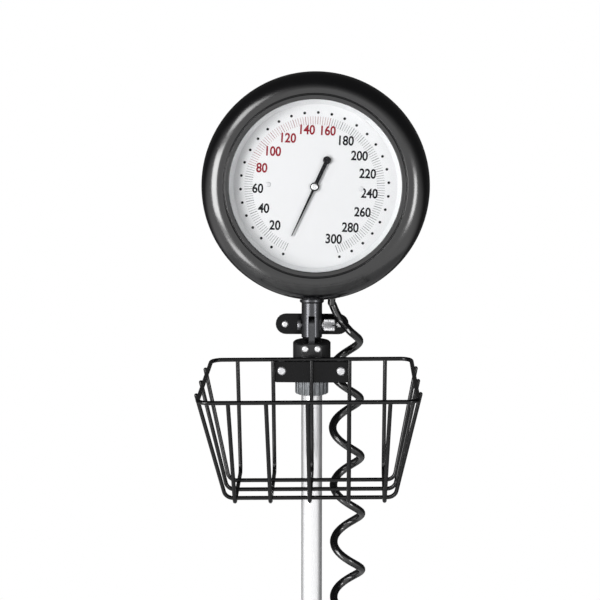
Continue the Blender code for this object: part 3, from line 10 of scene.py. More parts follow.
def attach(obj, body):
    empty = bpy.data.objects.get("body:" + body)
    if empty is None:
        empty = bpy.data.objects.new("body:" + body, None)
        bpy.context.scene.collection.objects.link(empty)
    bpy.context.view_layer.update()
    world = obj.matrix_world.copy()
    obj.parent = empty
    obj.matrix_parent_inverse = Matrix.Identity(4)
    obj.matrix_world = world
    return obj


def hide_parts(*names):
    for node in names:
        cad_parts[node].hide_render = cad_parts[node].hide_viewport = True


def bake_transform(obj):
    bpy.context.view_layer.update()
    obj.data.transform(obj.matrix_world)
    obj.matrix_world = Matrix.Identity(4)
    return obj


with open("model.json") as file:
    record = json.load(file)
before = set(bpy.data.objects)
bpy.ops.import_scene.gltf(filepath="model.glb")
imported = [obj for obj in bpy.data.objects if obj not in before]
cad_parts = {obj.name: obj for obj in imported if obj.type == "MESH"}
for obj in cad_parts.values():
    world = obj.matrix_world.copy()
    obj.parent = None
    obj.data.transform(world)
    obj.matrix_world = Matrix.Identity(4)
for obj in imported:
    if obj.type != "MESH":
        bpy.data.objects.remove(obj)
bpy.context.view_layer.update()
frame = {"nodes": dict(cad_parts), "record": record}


MADE = {}
LOOSE = []

# Clearances and welding distances
GAP = 0.0003
OVERRUN = 0.002
MERGE = 1e-5
FINE_MERGE = 2e-6
PRINT_MERGE = 1e-6

# Sides of round shapes
BIG_SIDES = 240
HUB_SIDES = 96
TUBE_SIDES = 64
SMALL_SIDES = 32

# Places and directions
QUARTER = math.pi / 2.0
ORIGIN = (0.0, 0.0, 0.0)
UPRIGHT = (0.0, 0.0, 0.0)
ALONG_X = (0.0, QUARTER, 0.0)
FRONTWARD = (QUARTER, 0.0, 0.0)
BACKWARD = (-QUARTER, 0.0, 0.0)
FLIPPED = (math.pi, 0.0, 0.0)
LEFT_RIGHT = ((-1.0, "left"), (1.0, "right"))

# A section is a row of (radius, height) points down the outer side of a turned piece, and a bar is
# (radius, low end, high end). A box has two corners, and ends are the two heights of a flat piece.

# Casters, heights from the floor and reaches from the swivel
LEGS = 5
CASTER_REACH = 0.25
CASTER_TRAIL = 0.018
WHEEL_RADIUS = 0.025
WHEEL_FLATS = 16
AXLE_Z = WHEEL_RADIUS * math.cos(math.pi / WHEEL_FLATS)
TREAD_HALF = 0.0065
HALF_WHEEL = (
    (0.0033, 0.009), (0.0095, 0.009), (0.0115, 0.005), (0.018, 0.005), (0.02, 0.0085), (AXLE_Z, TREAD_HALF),
)
FORK_SIDE = (
    (-0.011, 0.048), (0.009, AXLE_Z - 0.003), (0.014, AXLE_Z - 0.009), (0.022, AXLE_Z - 0.009),
    (0.027, AXLE_Z - 0.003), (0.027, 0.034), (0.012, 0.0592), (-0.011, 0.0592),
)
FORK_ENDS = (-0.0121, 0.0121)
FORK_GAP = ((-0.013, -0.0096, 0.0), (0.043, 0.0096, 0.0525))
AXLE = (0.003, -0.01085, 0.01085)
STEM = (0.005, 0.05585, 0.079)

# The pole stands a little behind the middle of the footprint, because one leg points forward
WHEEL_REACH = CASTER_REACH + CASTER_TRAIL + WHEEL_RADIUS
BACK_LEG = QUARTER - math.pi / LEGS
POLE_Y = (WHEEL_REACH - WHEEL_REACH * math.sin(BACK_LEG) - TREAD_HALF * math.cos(BACK_LEG)) / 2.0

# Base
HUB = (
    (0.0, 0.072), (0.013, 0.072), (0.013, 0.122), (0.019, 0.122), (0.022, 0.119), (0.035, 0.106),
    (0.035, 0.067), (0.032, 0.064), (0.0, 0.064),
)
LEG_SIDE = ((0.0353, 0.071), (CASTER_REACH, 0.065), (CASTER_REACH, 0.081), (0.0353, 0.103))
LEG_ENDS = (-0.011, 0.011)
LEG_CHAMFER = 0.002
LEG_BOSS = (0.014, 0.0595, 0.084)
LEG_TENON = ((0.021, -0.008, 0.076), (0.0373, 0.008, 0.098))
LEG_POCKET = ((0.0207, -0.0083, 0.0757), (0.037, 0.0083, 0.0983))
STEM_BORE = (0.0053, 0.0575, 0.0793)

# Pole, heights from the floor
OUTER_TUBE = ((0.0112, 0.7), (0.0127, 0.7), (0.0127, 0.0723), (0.0112, 0.0723))
TUBE_BUSH = (
    (0.0098, 0.7023), (0.0127, 0.7023), (0.0127, 0.7003), (0.0109, 0.7003), (0.0109, 0.655), (0.0098, 0.655),
)
INNER_TUBE = ((0.0083, 1.058), (0.0095, 1.058), (0.0095, 0.358), (0.0083, 0.358))
TUBE_GLIDE = (
    (0.0, 0.3727), (0.008, 0.3727), (0.008, 0.3577), (0.0109, 0.3577), (0.0109, 0.3457), (0.0, 0.3457),
)
LOCK_GRIP = (0.0165, 0.0157, 28)
LOCK_ENDS = (0.672, 0.735)
LOCK_SEAT = (0.013, 0.67, 0.7026)
LOCK_BORE = (0.0098, 0.67, 0.737)

# Screws: radius and height of the head, radius and length of the shank
COLLAR_SCREW = (0.003, 0.0018, 0.0015, 0.01)
STEM_SCREW = (0.003, 0.0018, 0.0015, 0.0072)
REAR_SCREW = (0.003, 0.0018, 0.002, 0.007)
BASKET_SCREW = (0.004, 0.0022, 0.002, 0.0058)
BACK_SCREW = (0.003, 0.0018, 0.0015, 0.0042)
DIAL_SCREW = (0.0022, 0.0008, 0.0012, 0.006)

# Hinge and neck, heights from the tilt axis
HINGE_Z = 1.09
REST_TILT = math.radians(8.6)
NECK_TOP = 0.0229
NECK = (
    (0.0, NECK_TOP), (0.0109, NECK_TOP), (0.0109, 0.0211), (0.0093, 0.0197), (0.0093, -0.0105),
    (0.0073, -0.0125), (0.0, -0.0125),
)
NECK_SLOT = ((-0.00295, -0.0113, -0.0145), (0.00295, 0.0113, 0.0083))
NECK_WAY = (0.0028, -0.0113, 0.0113)
BOLT = (
    (0.0, 0.019), (0.0025, 0.019), (0.0025, -0.0098), (0.0045, -0.0098), (0.0045, -0.0124),
    (0.0039, -0.013), (0.0, -0.013),
)
KNOB_RADIUS = 0.0055
KNOB_VALLEY = 0.0046
KNOB_LOW = 0.0105
KNOB_HIGH = 0.021
KNOB_BEVEL = 0.0006
KNOB_BOSS = (0.0038, 0.0096, 0.0125)
KNOB_BORE = (0.0028, 0.0076, 0.0193)
KNOB_SLOT = ((0.018, -0.0075, -0.0007), (0.023, 0.0075, 0.0007))
KNURL_ROUND = 18
KNURL_STEPS = 8
KNURL_ROWS = 24
KNURL_PITCH = 0.003

# Swivel collar, bracket and rear plate, heights from the tilt axis and depths from the pole
COLLAR = ((0.0098, -0.015), (0.016, -0.015), (0.017, -0.016), (0.017, -0.0485), (0.0098, -0.0485))
FRONT_FACET = ((-0.017, -0.019, -0.0257), (0.017, -0.0145, -0.013))
BACK_FACET = ((-0.017, 0.0162, -0.0505), (0.017, 0.019, -0.013))
TONGUE_SPIGOT = ((0.0, -0.015), (0.0095, -0.015), (0.0095, -0.03), (0.0, -0.03))
TONGUE_ROUND = 0.007
TONGUE_DEPTH = 0.017
TONGUE_ENDS = (-0.00265, 0.00265)
TONGUE_WAY = (0.0028, -0.0053, 0.0053)
BRACKET_HALF = 0.035
BRACKET_TOP = -0.0292
BRACKET_BOTTOM = -0.0485
BRACKET_CORNER = 0.004
CORNER_STEPS = 3
FLANGE_ENDS = (0.0145, 0.0185)
PLATE_FRONT = 0.0206
PLATE_ENDS = (0.0188, PLATE_FRONT)
NUT_GRIP = (0.0151, 0.0143, 20)
NUT_ENDS = (-0.0624, -0.0488)
NUT_BORE = (0.0098, -0.0644, -0.0468)
REAR_Z = -0.0027
REAR_END = 0.0094
REAR_STRAIGHT = 0.0238
REAR_STEPS = 10
REAR_ENDS = (-0.019, -0.0165)
REAR_STEM = ((-0.007, 0.0165, -0.034), (0.007, 0.019, REAR_Z))
# Seats of the screws, of a pair the right one
COLLAR_SEAT = (0.0056, -0.0145, -0.019)
BASKET_SEAT = (0.0267, -PLATE_FRONT, -0.0377)
REAR_SEAT = (0.0245, 0.0165, REAR_Z)
STEM_SEAT = (0.0, 0.019, -0.027)

# Basket, heights from the tilt axis and depths from the pole
RIM_WIRE = 0.0019
WIRE = 0.0018
WELD = 0.0006
RIM_Z = -0.0265
BACK_HALF = 0.0892
FRONT_HALF = 0.0925
RIM_FRONT = 0.176
RIM_FALL = 0.0021
RIM_CORNER = 0.01
BASKET_BACK = PLATE_FRONT + GAP + RIM_WIRE
BAR_RISE = 0.0014
FLOOR_Z = -0.1297
FLOOR_HALF = 0.073
FLOOR_FRONT = 0.125
WIRE_BEND = 0.008
BEND_STEPS = 8
WIRE_ROUNDNESS = 4
END_STEPS = 4
END_TURN = math.radians(80.0)
BASKET_LEAN = math.radians(0.7)
# Sideways places of the long wires: on the rim behind, on the floor, on the rim in front
LONG_WIRES = (
    (-0.066, -0.065, -0.0665), (-0.0343, -0.0343, -0.0347), (0.0, -0.0006, 0.0), (0.0343, 0.033, 0.0347),
    (0.066, 0.064, 0.069),
)
# Depths of the wires from side to side: on the rim, on the floor
CROSS_WIRES = ((0.057, 0.0642), (0.1033, 0.0935), (0.1492, 0.1205))

# Gauge, in its own frame: x right, y up the dial, z out of the glass
GAUGE_LEAN = math.radians(1.7)
GAUGE_FORWARD = 0.0055
GAUGE_RISE = 0.1025
DIAL_TURN = math.radians(0.9)
DIAL_SHIFT = (-0.0007, -0.0008, 0.0)
CASE_RADIUS = 0.0975
CASE = (
    (0.095, 0.0085), (CASE_RADIUS, 0.0085), (CASE_RADIUS, -0.026), (0.084, -0.026), (0.084, -0.0235),
    (0.095, -0.0235),
)
BACK_COVER = ((0.0, -0.0263), (0.0965, -0.0263), (0.0965, -0.0283), (0.0, -0.0283))
BACK_SCREWS = 3
COVER_CIRCLE = 0.09
COVER_SEAT = -0.0283
NECK_LINE = (0.0, 0.0, -GAUGE_FORWARD)
NECK_SPIGOT = (
    (0.0, -0.0863), (0.0052, -0.0863), (0.0052, -0.0978), (0.0065, -0.0978), (0.0065, -0.1035),
    (0.0, -0.1035),
)
NECK_BOSS = (0.013, -0.09625, -0.091)
NECK_BORE = (0.0055, -0.0995, -0.089)
NECK_NUT_RADIUS = 0.0095
NECK_NUT_BORE = 0.0055
NECK_NUT_ENDS = (-0.0907, -0.0867)
GROOVE = 0.0815
GROOVE_REACH = 0.0011
GROOVE_EDGE = 0.0228
GROOVE_DEPTH = 0.001
LIP_ROUND = 0.0008
LIP_CENTRE = (0.0776, 0.0217)
CURVE_STEPS = 8
BEZEL_CURVE = (
    (0.0826, GROOVE_EDGE), (0.0868, 0.023), (0.0924, 0.0211), (0.0972, 0.0177), (0.1004, 0.013),
    (0.1022, 0.0065), (0.1022, 0.0025),
)
BEZEL_INSIDE = (
    (0.1014, 0.0015), (0.0978, 0.0015), (0.0978, 0.009), (0.0945, 0.014), (0.087, 0.0185), (0.0818, 0.019),
    (0.0768, 0.019),
)
LENS = ((0.0, 0.0187), (0.0812, 0.0187), (0.0812, 0.0167), (0.0, 0.0167))
DIAL_RING = ((0.0765, 0.0164), (0.0812, 0.0164), (0.0812, 0.0093), (0.073, 0.0093))
DIAL_RADIUS = 0.0778
DIAL_FRONT = 0.009
DIAL_ENDS = (0.0082, DIAL_FRONT)
DIAL_BORE = 0.0025
PILLAR_SIDE = 0.0414
PILLAR_BORE = 0.0015

# Pointer, in the dial's frame
ZERO_ANGLE = math.radians(247.7)
FULL_SWEEP = math.radians(315.4)
POINTER_ENDS = (0.0105, 0.0115)
POINTER_REACH = 0.0484
POINTER_HUB = 0.004
HUB_STEPS = 5
ARM_HALF = 0.0011
TIP_HALF = 0.0004
TAIL_HALF = 0.0017
POINTER_TAIL = 0.0261
POINTER_WEIGHT = 0.0036
POINTER_CAP = (
    (0.0, 0.013), (0.0025, 0.013), (0.0029, 0.0126), (0.0029, 0.0118), (0.0013, 0.0118), (0.0013, 0.0125),
    (0.0, 0.0125),
)
ARBOR = (0.001, -0.0225, 0.0122)
ARBOR_BORE = 0.0013

# Movement, in the dial's frame
FRAME_PLATE = ((-0.089, -0.012, -0.0232), (0.089, 0.012, -0.0202))
FRAME_TONGUE = ((-0.012, -0.06, -0.0232), (0.012, 0.0, -0.0202))
BEARING = (0.004, -0.0217, -0.0165)
ARBOR_WAY = (ARBOR_BORE, -0.0252, -0.0145)
PILLAR = (
    (0.0, 0.001), (PILLAR_BORE, 0.001), (PILLAR_BORE, 0.0079), (0.0035, 0.0079), (0.0035, -0.0217),
    (0.0, -0.0217),
)
SECTOR_PIN = (0.0015, -0.0217, -0.0112)
SECTOR_BORE = 0.0018
SECTOR_HUB = 0.004
SECTOR_TEETH = 14
SECTOR_ROUND = 120
SECTOR_RADIUS = 0.024
PINION_TEETH = 12
PINION_RADIUS = 0.0024
SECTOR_PIVOT = (-SECTOR_RADIUS - PINION_RADIUS, 0.0, 0.0)
GEAR_ENDS = (-0.014, -0.012)
ADDENDUM = 0.00032
DEDENDUM = 0.00048
# A tooth's outline: share of the pitch from its middle, and whether the point is at its tip
TOOTH = ((-0.2, 0.0), (-0.09, 1.0), (0.09, 1.0), (0.2, 0.0))
CAPSULE_RADIUS = 0.025
CAPSULE_DROP = 0.044
CAPSULE_MIDDLE = -0.01565
CAPSULE = (
    (0.0, -0.009), (0.003, -0.009), (0.003, -0.0114), (0.0074, -0.0121), (0.0118, -0.0114),
    (0.0162, -0.0121), (0.0206, -0.0114), (CAPSULE_RADIUS, -0.0121), (CAPSULE_RADIUS, -0.0199),
    (0.0, -0.0199),
)

# Inlet, in the gauge's frame
INLET_SIDE = 0.0177
INLET_Z = -0.01
INLET_LINE = (INLET_SIDE, 0.0, INLET_Z)
INLET_BORE = (0.0033, -0.0995, -0.089)
GLAND_RADIUS = 0.0046
GLAND_STEM_TOP = -0.09
GLAND_SHOULDER = -math.sqrt(CASE_RADIUS ** 2 - (INLET_SIDE - GLAND_RADIUS) ** 2) - GAP
GLAND_FOOT = GLAND_SHOULDER - 0.0042
GLAND = (
    (0.0, GLAND_STEM_TOP), (0.003, GLAND_STEM_TOP), (0.003, GLAND_SHOULDER), (GLAND_RADIUS, GLAND_SHOULDER),
    (GLAND_RADIUS, GLAND_FOOT + 0.0008), (0.0038, GLAND_FOOT), (0.0, GLAND_FOOT),
)
PIPE_RADIUS = 0.0012
PIPE_BEND = 0.003
PIPE_BEND_STEPS = 3
PIPE_RUN_SHARE = 0.325
PIPE_ANGLE = math.radians(-69.3)

# Hose: the coil's places are from the pole and the tilt axis
HOSE_RADIUS = 0.0036
HOSE_ROUNDNESS = 6
COIL_X = 0.0302
COIL_Y = 0.0143
COIL_DRIFT = 0.0009
COIL_X_LOW = 0.036
COIL_Y_LOW = 0.016
COIL_TOP = -0.0176
PITCH_TOP = 0.0543
PITCH_LOW = 0.0112
TURN_LENGTH = 0.097
OPEN_TURNS = 3
CLOSING_TURNS = 15
FALL_SHARE = 1.5
LEAD_IN = math.radians(40.0)
TAIL_BEND = 0.015
TAIL_RUN = 0.02
CURL_POINTS = 8
TAIL_STEPS = 4
FINE_POINTS = 32
FINE_STEPS = 12
LEAD_SPACING = 0.001375
ROUTE_STEPS = 16
# The lead's way from the inlet to the first curl
LEAD_ROUTE = ((0.0185, 0.009, 0.0175), (0.0222, 0.008, 0.0092), (0.0275, 0.006, 0.0014))
CONNECTOR = (
    (0.0, -0.0003), (0.004, -0.0003), (0.0048, -0.0011), (0.0048, -0.016), (0.0024, -0.016),
    (0.0024, -0.028), (0.0, -0.028),
)

# Print on the dial, in the dial's frame
PRINTED = ("number_", "ticks_", "dots")
PRINT_LIFT = 0.00003
PRINT_DEPTH = 0.00006
SCALE_TOP = 300
TICK_EVERY = 2
DOT_EVERY = 10
NUMBER_EVERY = 20
RED = range(80, 161)
DOT_CIRCLE = 0.0663
DOT_RADIUS = 0.00125
DOT_SIDES = 24
TICK_INNER = 0.0556
TICK_OUTER = 0.0628
TICK_HALF = 0.00013
LONG_TICK_HALF = 0.00021
NUMBER_REACH = 0.0566
NUMBER_SHIFT = (0.0005, 0.0004, 0.0)
NUMBER_HEIGHT = 0.0088
NUMBER_WIDTH = 0.86
NUMBER_WEIGHT = 0.026
NUMBER_STEPS = 6

# Softened edges: how wide they are, by the piece's name without its number
EDGE = 0.0004
SCREW_EDGE = 0.0002
EDGES = {
    "basket": 0.0, "inlet_pipe": 0.0, "lens": 0.0003, "bezel_ring": 0.00025, "sector_gear": 0.00005,
    "pinion_arbor": 0.00005, "pointer": 0.00012, "dial_plate": 0.0001, "base_hub": 0.0008, "leg_": 0.0008,
}
SHARP = math.radians(35.0)
FLAT = math.radians(0.5)
LEG_SHARP = math.radians(50.0)


def link(name, data=None):
    """A new object in the scene."""
    made = bpy.data.objects.new(name, data)
    bpy.context.scene.collection.objects.link(made)
    return made


# Camera

CAMERA_DISTANCE = 2.15
CAMERA_PITCH = math.radians(11.4)
CAMERA_SIDE = math.radians(1.43)
CAMERA_OFFSET = 0.01067
CAMERA_AIM = 0.023
CAMERA_LENS = 143.3
CAMERA_NEAR = 0.05
SENSOR = 36.0


def make_camera():
    """The photograph's view, from a little above."""
    right = Vector((math.cos(CAMERA_SIDE), math.sin(CAMERA_SIDE), 0.0))
    level = Vector((-math.sin(CAMERA_SIDE), math.cos(CAMERA_SIDE), 0.0))
    ahead = level * math.cos(CAMERA_PITCH) - Vector((0.0, 0.0, math.sin(CAMERA_PITCH)))
    eye = Vector((0.0, POLE_Y, HINGE_Z + CAMERA_AIM)) - ahead * CAMERA_DISTANCE - right * CAMERA_OFFSET
    data = bpy.data.cameras.new("photo_camera")
    data.lens = CAMERA_LENS
    data.sensor_width = SENSOR
    data.clip_start = CAMERA_NEAR
    camera = link("photo_camera", data)
    turn = Matrix((right, right.cross(ahead), -ahead)).transposed()
    camera.matrix_world = Matrix.Translation(eye) @ turn.to_4x4()
    bpy.context.scene.camera = camera
    bpy.context.scene.view_settings.view_transform = "Standard"


make_camera()


# Light and surroundings

LAMP_TARGET = (0.0, POLE_Y, HINGE_Z + 0.05)
LAMP_DISTANCE = 2.2
# Soft boxes: azimuth from the front and rise in degrees, width, height and power
SOFT_BOXES = {
    "left_box": (-44.5, 8.0, 0.94, 1.12, 33.0),
    "left_high_box": (-36.0, 36.0, 0.66, 0.55, 8.0),
    "left_low_box": (-36.0, -19.0, 0.66, 0.5, 7.0),
    "right_box": (38.5, 4.0, 0.44, 0.7, 10.0),
}
GLOSS_FRONT = (-0.14, -0.72, -0.68)
GLOSS_DARK = 0.06
GLOSS_SHUT = -0.15
GLOSS_OPEN = 0.5
WORLD_LIGHT = 0.23
WORLD_TINT = (0.97, 0.985, 1.0, 1.0)
WHITE = (1.0, 1.0, 1.0, 1.0)


def soft_box(name, azimuth, rise, width, height, power):
    """A soft lamp that faces the gauge."""
    data = bpy.data.lights.new(name, "AREA")
    data.shape = "RECTANGLE"
    data.size = width
    data.size_y = height
    data.energy = power
    lamp = link(name, data)
    a = math.radians(azimuth)
    e = math.radians(rise)
    away = Vector((math.sin(a) * math.cos(e), -math.cos(a) * math.cos(e), math.sin(e)))
    lamp.location = Vector(LAMP_TARGET) + away * LAMP_DISTANCE
    lamp.rotation_euler = away.to_track_quat("Z", "Y").to_euler()


for lamp_name, lamp_values in SOFT_BOXES.items():
    soft_box(lamp_name, *lamp_values)


def node(tree, kind, values=None, **settings):
    """A new shader node with its settings and the values of its inputs."""
    made = tree.nodes.new("ShaderNode" + kind)
    for key, value in settings.items():
        setattr(made, key, value)
    set_values(made, values or {})
    return made


def set_values(made, values):
    """Values of a node's inputs."""
    for key, value in values.items():
        made.inputs[key].default_value = value


def connect(tree, *links):
    """Links from outputs to inputs."""
    for source, output, target, entry in links:
        tree.links.new(source.outputs[output], target.inputs[entry])


def make_world():
    """White to the camera and through glass, in gloss dark beside, dim as a light."""
    world = bpy.data.worlds.new("studio")
    bpy.context.scene.world = world
    world.use_nodes = True
    tree = world.node_tree
    tree.nodes.clear()
    out = node(tree, "OutputWorld")
    seen = node(tree, "Background", {"Color": WHITE})
    lit = node(tree, "Background", {"Color": WORLD_TINT, "Strength": WORLD_LIGHT})
    mix = node(tree, "MixShader")
    path = node(tree, "LightPath")
    coords = node(tree, "TexCoord")
    toward = node(tree, "VectorMath", {1: GLOSS_FRONT}, operation="DOT_PRODUCT")
    bounds = {"From Min": GLOSS_SHUT, "From Max": GLOSS_OPEN, "To Min": GLOSS_DARK, "To Max": 1.0}
    room = node(tree, "MapRange", bounds, interpolation_type="SMOOTHSTEP")
    plain_ray = node(tree, "Math", {0: 1.0}, operation="SUBTRACT")
    strength = node(tree, "Math", operation="MAXIMUM")
    glossy = node(tree, "Math", operation="MAXIMUM")
    through = node(tree, "Math", operation="MAXIMUM")
    connect(
        tree,
        (coords, "Generated", toward, 0), (toward, "Value", room, "Value"),
        (path, "Is Glossy Ray", plain_ray, 1), (room, "Result", strength, 0), (plain_ray, 0, strength, 1),
        (strength, 0, seen, "Strength"), (path, "Is Camera Ray", glossy, 0),
        (path, "Is Glossy Ray", glossy, 1), (glossy, 0, through, 0), (through, 0, mix, 0),
        (path, "Is Transmission Ray", through, 1), (lit, 0, mix, 1), (seen, 0, mix, 2), (mix, 0, out, 0),
    )


make_world()


# Materials

COAT_ROUGHNESS = 0.08
GRAIN_DETAIL = 3.0
CLOUD_DETAIL = 4.0
CLOUD_LOW = 0.3
CLOUD_HIGH = 0.7


def surface(name, color, roughness, metallic, grain, vary, specular=0.5, coat=0.0, alpha=1.0):
    """A material. Grain is (scale, depth), vary is (scale, roughness range, tint range)."""
    made = bpy.data.materials.new(name)
    made.use_nodes = True
    tree = made.node_tree
    shader = tree.nodes["Principled BSDF"]
    set_values(shader, {
        "Base Color": (*color, 1.0), "Roughness": roughness, "Metallic": metallic, "Coat Weight": coat,
        "Coat Roughness": COAT_ROUGHNESS, "Alpha": alpha, "Specular IOR Level": specular,
    })
    coords = node(tree, "TexCoord")
    if grain:
        noise = node(tree, "TexNoise", {"Scale": grain[0], "Detail": GRAIN_DETAIL})
        bump = node(tree, "Bump", {"Strength": 1.0, "Distance": grain[1]})
        connect(
            tree, (coords, "Object", noise, "Vector"), (noise, "Fac", bump, "Height"),
            (bump, "Normal", shader, "Normal"),
        )
    if vary:
        cloud = node(tree, "TexNoise", {"Scale": vary[0], "Detail": CLOUD_DETAIL})
        low = max(0.0, roughness - vary[1])
        span = {"From Min": CLOUD_LOW, "From Max": CLOUD_HIGH, "To Min": low, "To Max": roughness + vary[1]}
        rough = node(tree, "MapRange", span)
        dark = (*[c * (1.0 - vary[2]) for c in color], 1.0)
        pale = (*[min(1.0, c * (1.0 + vary[2])) for c in color], 1.0)
        tint = node(tree, "Mix", {6: dark, 7: pale}, data_type="RGBA")
        connect(
            tree, (coords, "Object", cloud, "Vector"), (cloud, "Fac", rough, "Value"),
            (rough, "Result", shader, "Roughness"), (cloud, "Fac", tint, 0), (tint, 2, shader, "Base Color"),
        )
    return made


INK = (0.002, 0.002, 0.0025)
SOOT = (0.006, 0.006, 0.007)
SILVER = (0.9, 0.9, 0.91)
SATIN_BLACK = surface("satin_black", INK, 0.19, 0.0, (900.0, 1.5e-6), (60.0, 0.02, 0.2), 0.95)
SATIN_METAL = surface("satin_black_metal", SOOT, 0.45, 0.0, (1500.0, 4e-6), (80.0, 0.06, 0.2), 0.55)
GLOSS_BLACK = surface("gloss_black", INK, 0.22, 0.0, (350.0, 3e-6), (40.0, 0.04, 0.2), 0.24)
NECK_BLACK = surface("neck_black", (0.07, 0.071, 0.076), 0.28, 0.85, (900.0, 1e-6), (60.0, 0.05, 0.2))
BOLT_GREY = surface("bolt_grey", (0.26, 0.26, 0.27), 0.34, 0.9, (900.0, 2e-6), (60.0, 0.05, 0.1))
GUN_METAL = surface("gun_metal", (0.1, 0.102, 0.108), 0.24, 0.9, (900.0, 4e-6), (60.0, 0.05, 0.2))
NYLON_BLACK = surface("black_nylon", (0.016, 0.016, 0.018), 0.38, 0.0, (2200.0, 8e-6), (90.0, 0.06, 0.2), 0.7)
WIRE_BLACK = surface("wire_black", INK, 0.13, 0.0, (350.0, 2e-6), (40.0, 0.03, 0.2), 0.42)
HOSE_BLACK = surface("black_hose", INK, 0.16, 0.0, (500.0, 3e-6), (50.0, 0.04, 0.2), 1.0)
CHROME = surface("chrome", (0.96, 0.96, 0.97), 0.2, 0.6, None, (25.0, 0.03, 0.02))
PLATED = surface("plated_steel", SILVER, 0.36, 0.75, (1800.0, 3e-6), (200.0, 0.06, 0.03))
KNOB_METAL = surface("knob_metal", (0.5, 0.5, 0.51), 0.46, 1.0, (1500.0, 2e-6), (120.0, 0.05, 0.05))
NUT_GREY = surface("nut_grey", (0.2, 0.21, 0.22), 0.36, 0.6, (1800.0, 6e-6), (90.0, 0.06, 0.15))
BRASS = surface("brass", (0.72, 0.52, 0.22), 0.28, 1.0, (900.0, 6e-6), (60.0, 0.06, 0.1))
STEEL = surface("steel", (0.78, 0.78, 0.8), 0.36, 0.85, (700.0, 4e-6), (70.0, 0.08, 0.08))
DIAL_WHITE = surface("dial_white", (0.875, 0.88, 0.89), 0.5, 0.0, (1200.0, 3e-6), (12.0, 0.04, 0.01))
SILVER_RING = surface("silver_ring", (0.89, 0.9, 0.91), 0.36, 0.1, (1400.0, 4e-6), (30.0, 0.05, 0.03))
GLASS = surface("clear_lens", (0.06, 0.06, 0.065), 0.02, 0.0, None, None, 1.0, 1.0, 0.03)
TYRE_GREY = surface("caster_tread", (0.085, 0.085, 0.09), 0.55, 0.0, (1500.0, 3e-5), (70.0, 0.08, 0.15))
POINTER_BLACK = surface("pointer_black", SOOT, 0.42, 0.0, (1500.0, 4e-6), (90.0, 0.05, 0.1), 0.12)
CAP_SILVER = surface("cap_silver", SILVER, 0.25, 0.8, (1800.0, 2e-6), (300.0, 0.05, 0.03))
PRINT_BLACK = surface(
    "print_black", (0.008, 0.008, 0.01), 0.5, 0.0, (2000.0, 2e-6), (200.0, 0.05, 0.15), 0.15
)
PRINT_RED = surface("print_red", (0.3, 0.012, 0.026), 0.5, 0.0, (2000.0, 2e-6), (200.0, 0.05, 0.1), 0.15)


# Frames that the pieces are placed in

def empty(name, parent=None, location=ORIGIN, rotation=UPRIGHT):
    """An empty that carries pieces."""
    made = link(name)
    made.parent = parent
    made.location = location
    made.rotation_euler = rotation
    LOOSE.append(made)
    return made


def place(name, mesh, parent, look, rotation=UPRIGHT, location=ORIGIN):
    """A new object: a piece if it has a look, or else a tool, which is removed at the end."""
    thing = link("fine_" + name, mesh)
    thing.parent = parent
    thing.rotation_euler = rotation
    thing.location = location
    if look:
        MADE[name] = thing
        mesh.materials.append(look)
    else:
        LOOSE.append(thing)
    return thing


def store(work, mesh):
    """Write an edited mesh."""
    work.to_mesh(mesh)
    work.free()
    return mesh


def welded(mesh, distance):
    """A mesh opened for editing, with its close points joined."""
    work = bmesh.new()
    work.from_mesh(mesh)
    bmesh.ops.remove_doubles(work, verts=work.verts, dist=distance)
    return work


def smooth(mesh):
    """Shade a mesh smooth, with its sharp edges kept."""
    mesh.shade_smooth()
    mesh.set_sharp_from_angle(angle=SHARP)


def tidy_mesh(mesh):
    """Weld a mesh and turn its faces outwards."""
    work = welded(mesh, MERGE)
    bmesh.ops.recalc_face_normals(work, faces=work.faces)
    smooth(store(work, mesh))
    return mesh


def mesh_of(thing):
    """The evaluated mesh of an object."""
    depsgraph = bpy.context.evaluated_depsgraph_get()
    return bpy.data.meshes.new_from_object(thing.evaluated_get(depsgraph))


def mesh_and_remove(name, data):
    """The mesh of a curve or text, which is removed."""
    thing = link(name + "_source", data)
    mesh = mesh_of(thing)
    bpy.data.objects.remove(thing)
    mesh.name = name
    return mesh


# Shapes

def polar(reach, angle, centre=ORIGIN):
    """A point at a distance and a direction from a centre."""
    return (centre[0] + reach * math.cos(angle), centre[1] + reach * math.sin(angle))


def arc(centre, radius, start, end, steps):
    """Points along an arc, both ends included."""
    return [polar(radius, start + (end - start) * i / steps, centre) for i in range(steps + 1)]


def circle(radius, sides, centre=ORIGIN):
    """Points of a circle."""
    return arc(centre, radius, 0.0, math.tau * (sides - 1) / sides, sides - 1)


def ribbed(radius, valley, ribs):
    """Outline of a round grip with ribs."""
    rib = ((0.0, valley), (0.2, radius), (0.55, radius), (0.75, valley))
    return [polar(reach, math.tau * (i + share) / ribs) for i in range(ribs) for share, reach in rib]


def lathe(name, section, sides, parent, look=None, rotation=UPRIGHT, location=ORIGIN):
    """Turn a section about local Z, closed to a ring if it starts off the axis."""
    count = len(section)
    edges = [(i, i + 1) for i in range(count - 1)]
    if section[0][0] > 0.0:
        edges.append((count - 1, 0))
    mesh = bpy.data.meshes.new(name)
    mesh.from_pydata([(r, 0.0, z) for r, z in section], edges, [])
    made = place(name, mesh, parent, look, rotation, location)
    turn = made.modifiers.new("Turn", "SCREW")
    turn.axis = "Z"
    turn.angle = math.tau
    turn.steps = sides
    turn.render_steps = sides
    turn.use_merge_vertices = True
    turn.merge_threshold = MERGE
    turn.use_smooth_shade = True
    return made


def bar(size, parent, rotation=UPRIGHT, location=ORIGIN, sides=SMALL_SIDES):
    """A round bar that cuts or joins, along local Z."""
    radius, low, high = size
    section = ((0.0, high), (radius, high), (radius, low), (0.0, low))
    return lathe("bar", section, sides, parent, None, rotation, location)


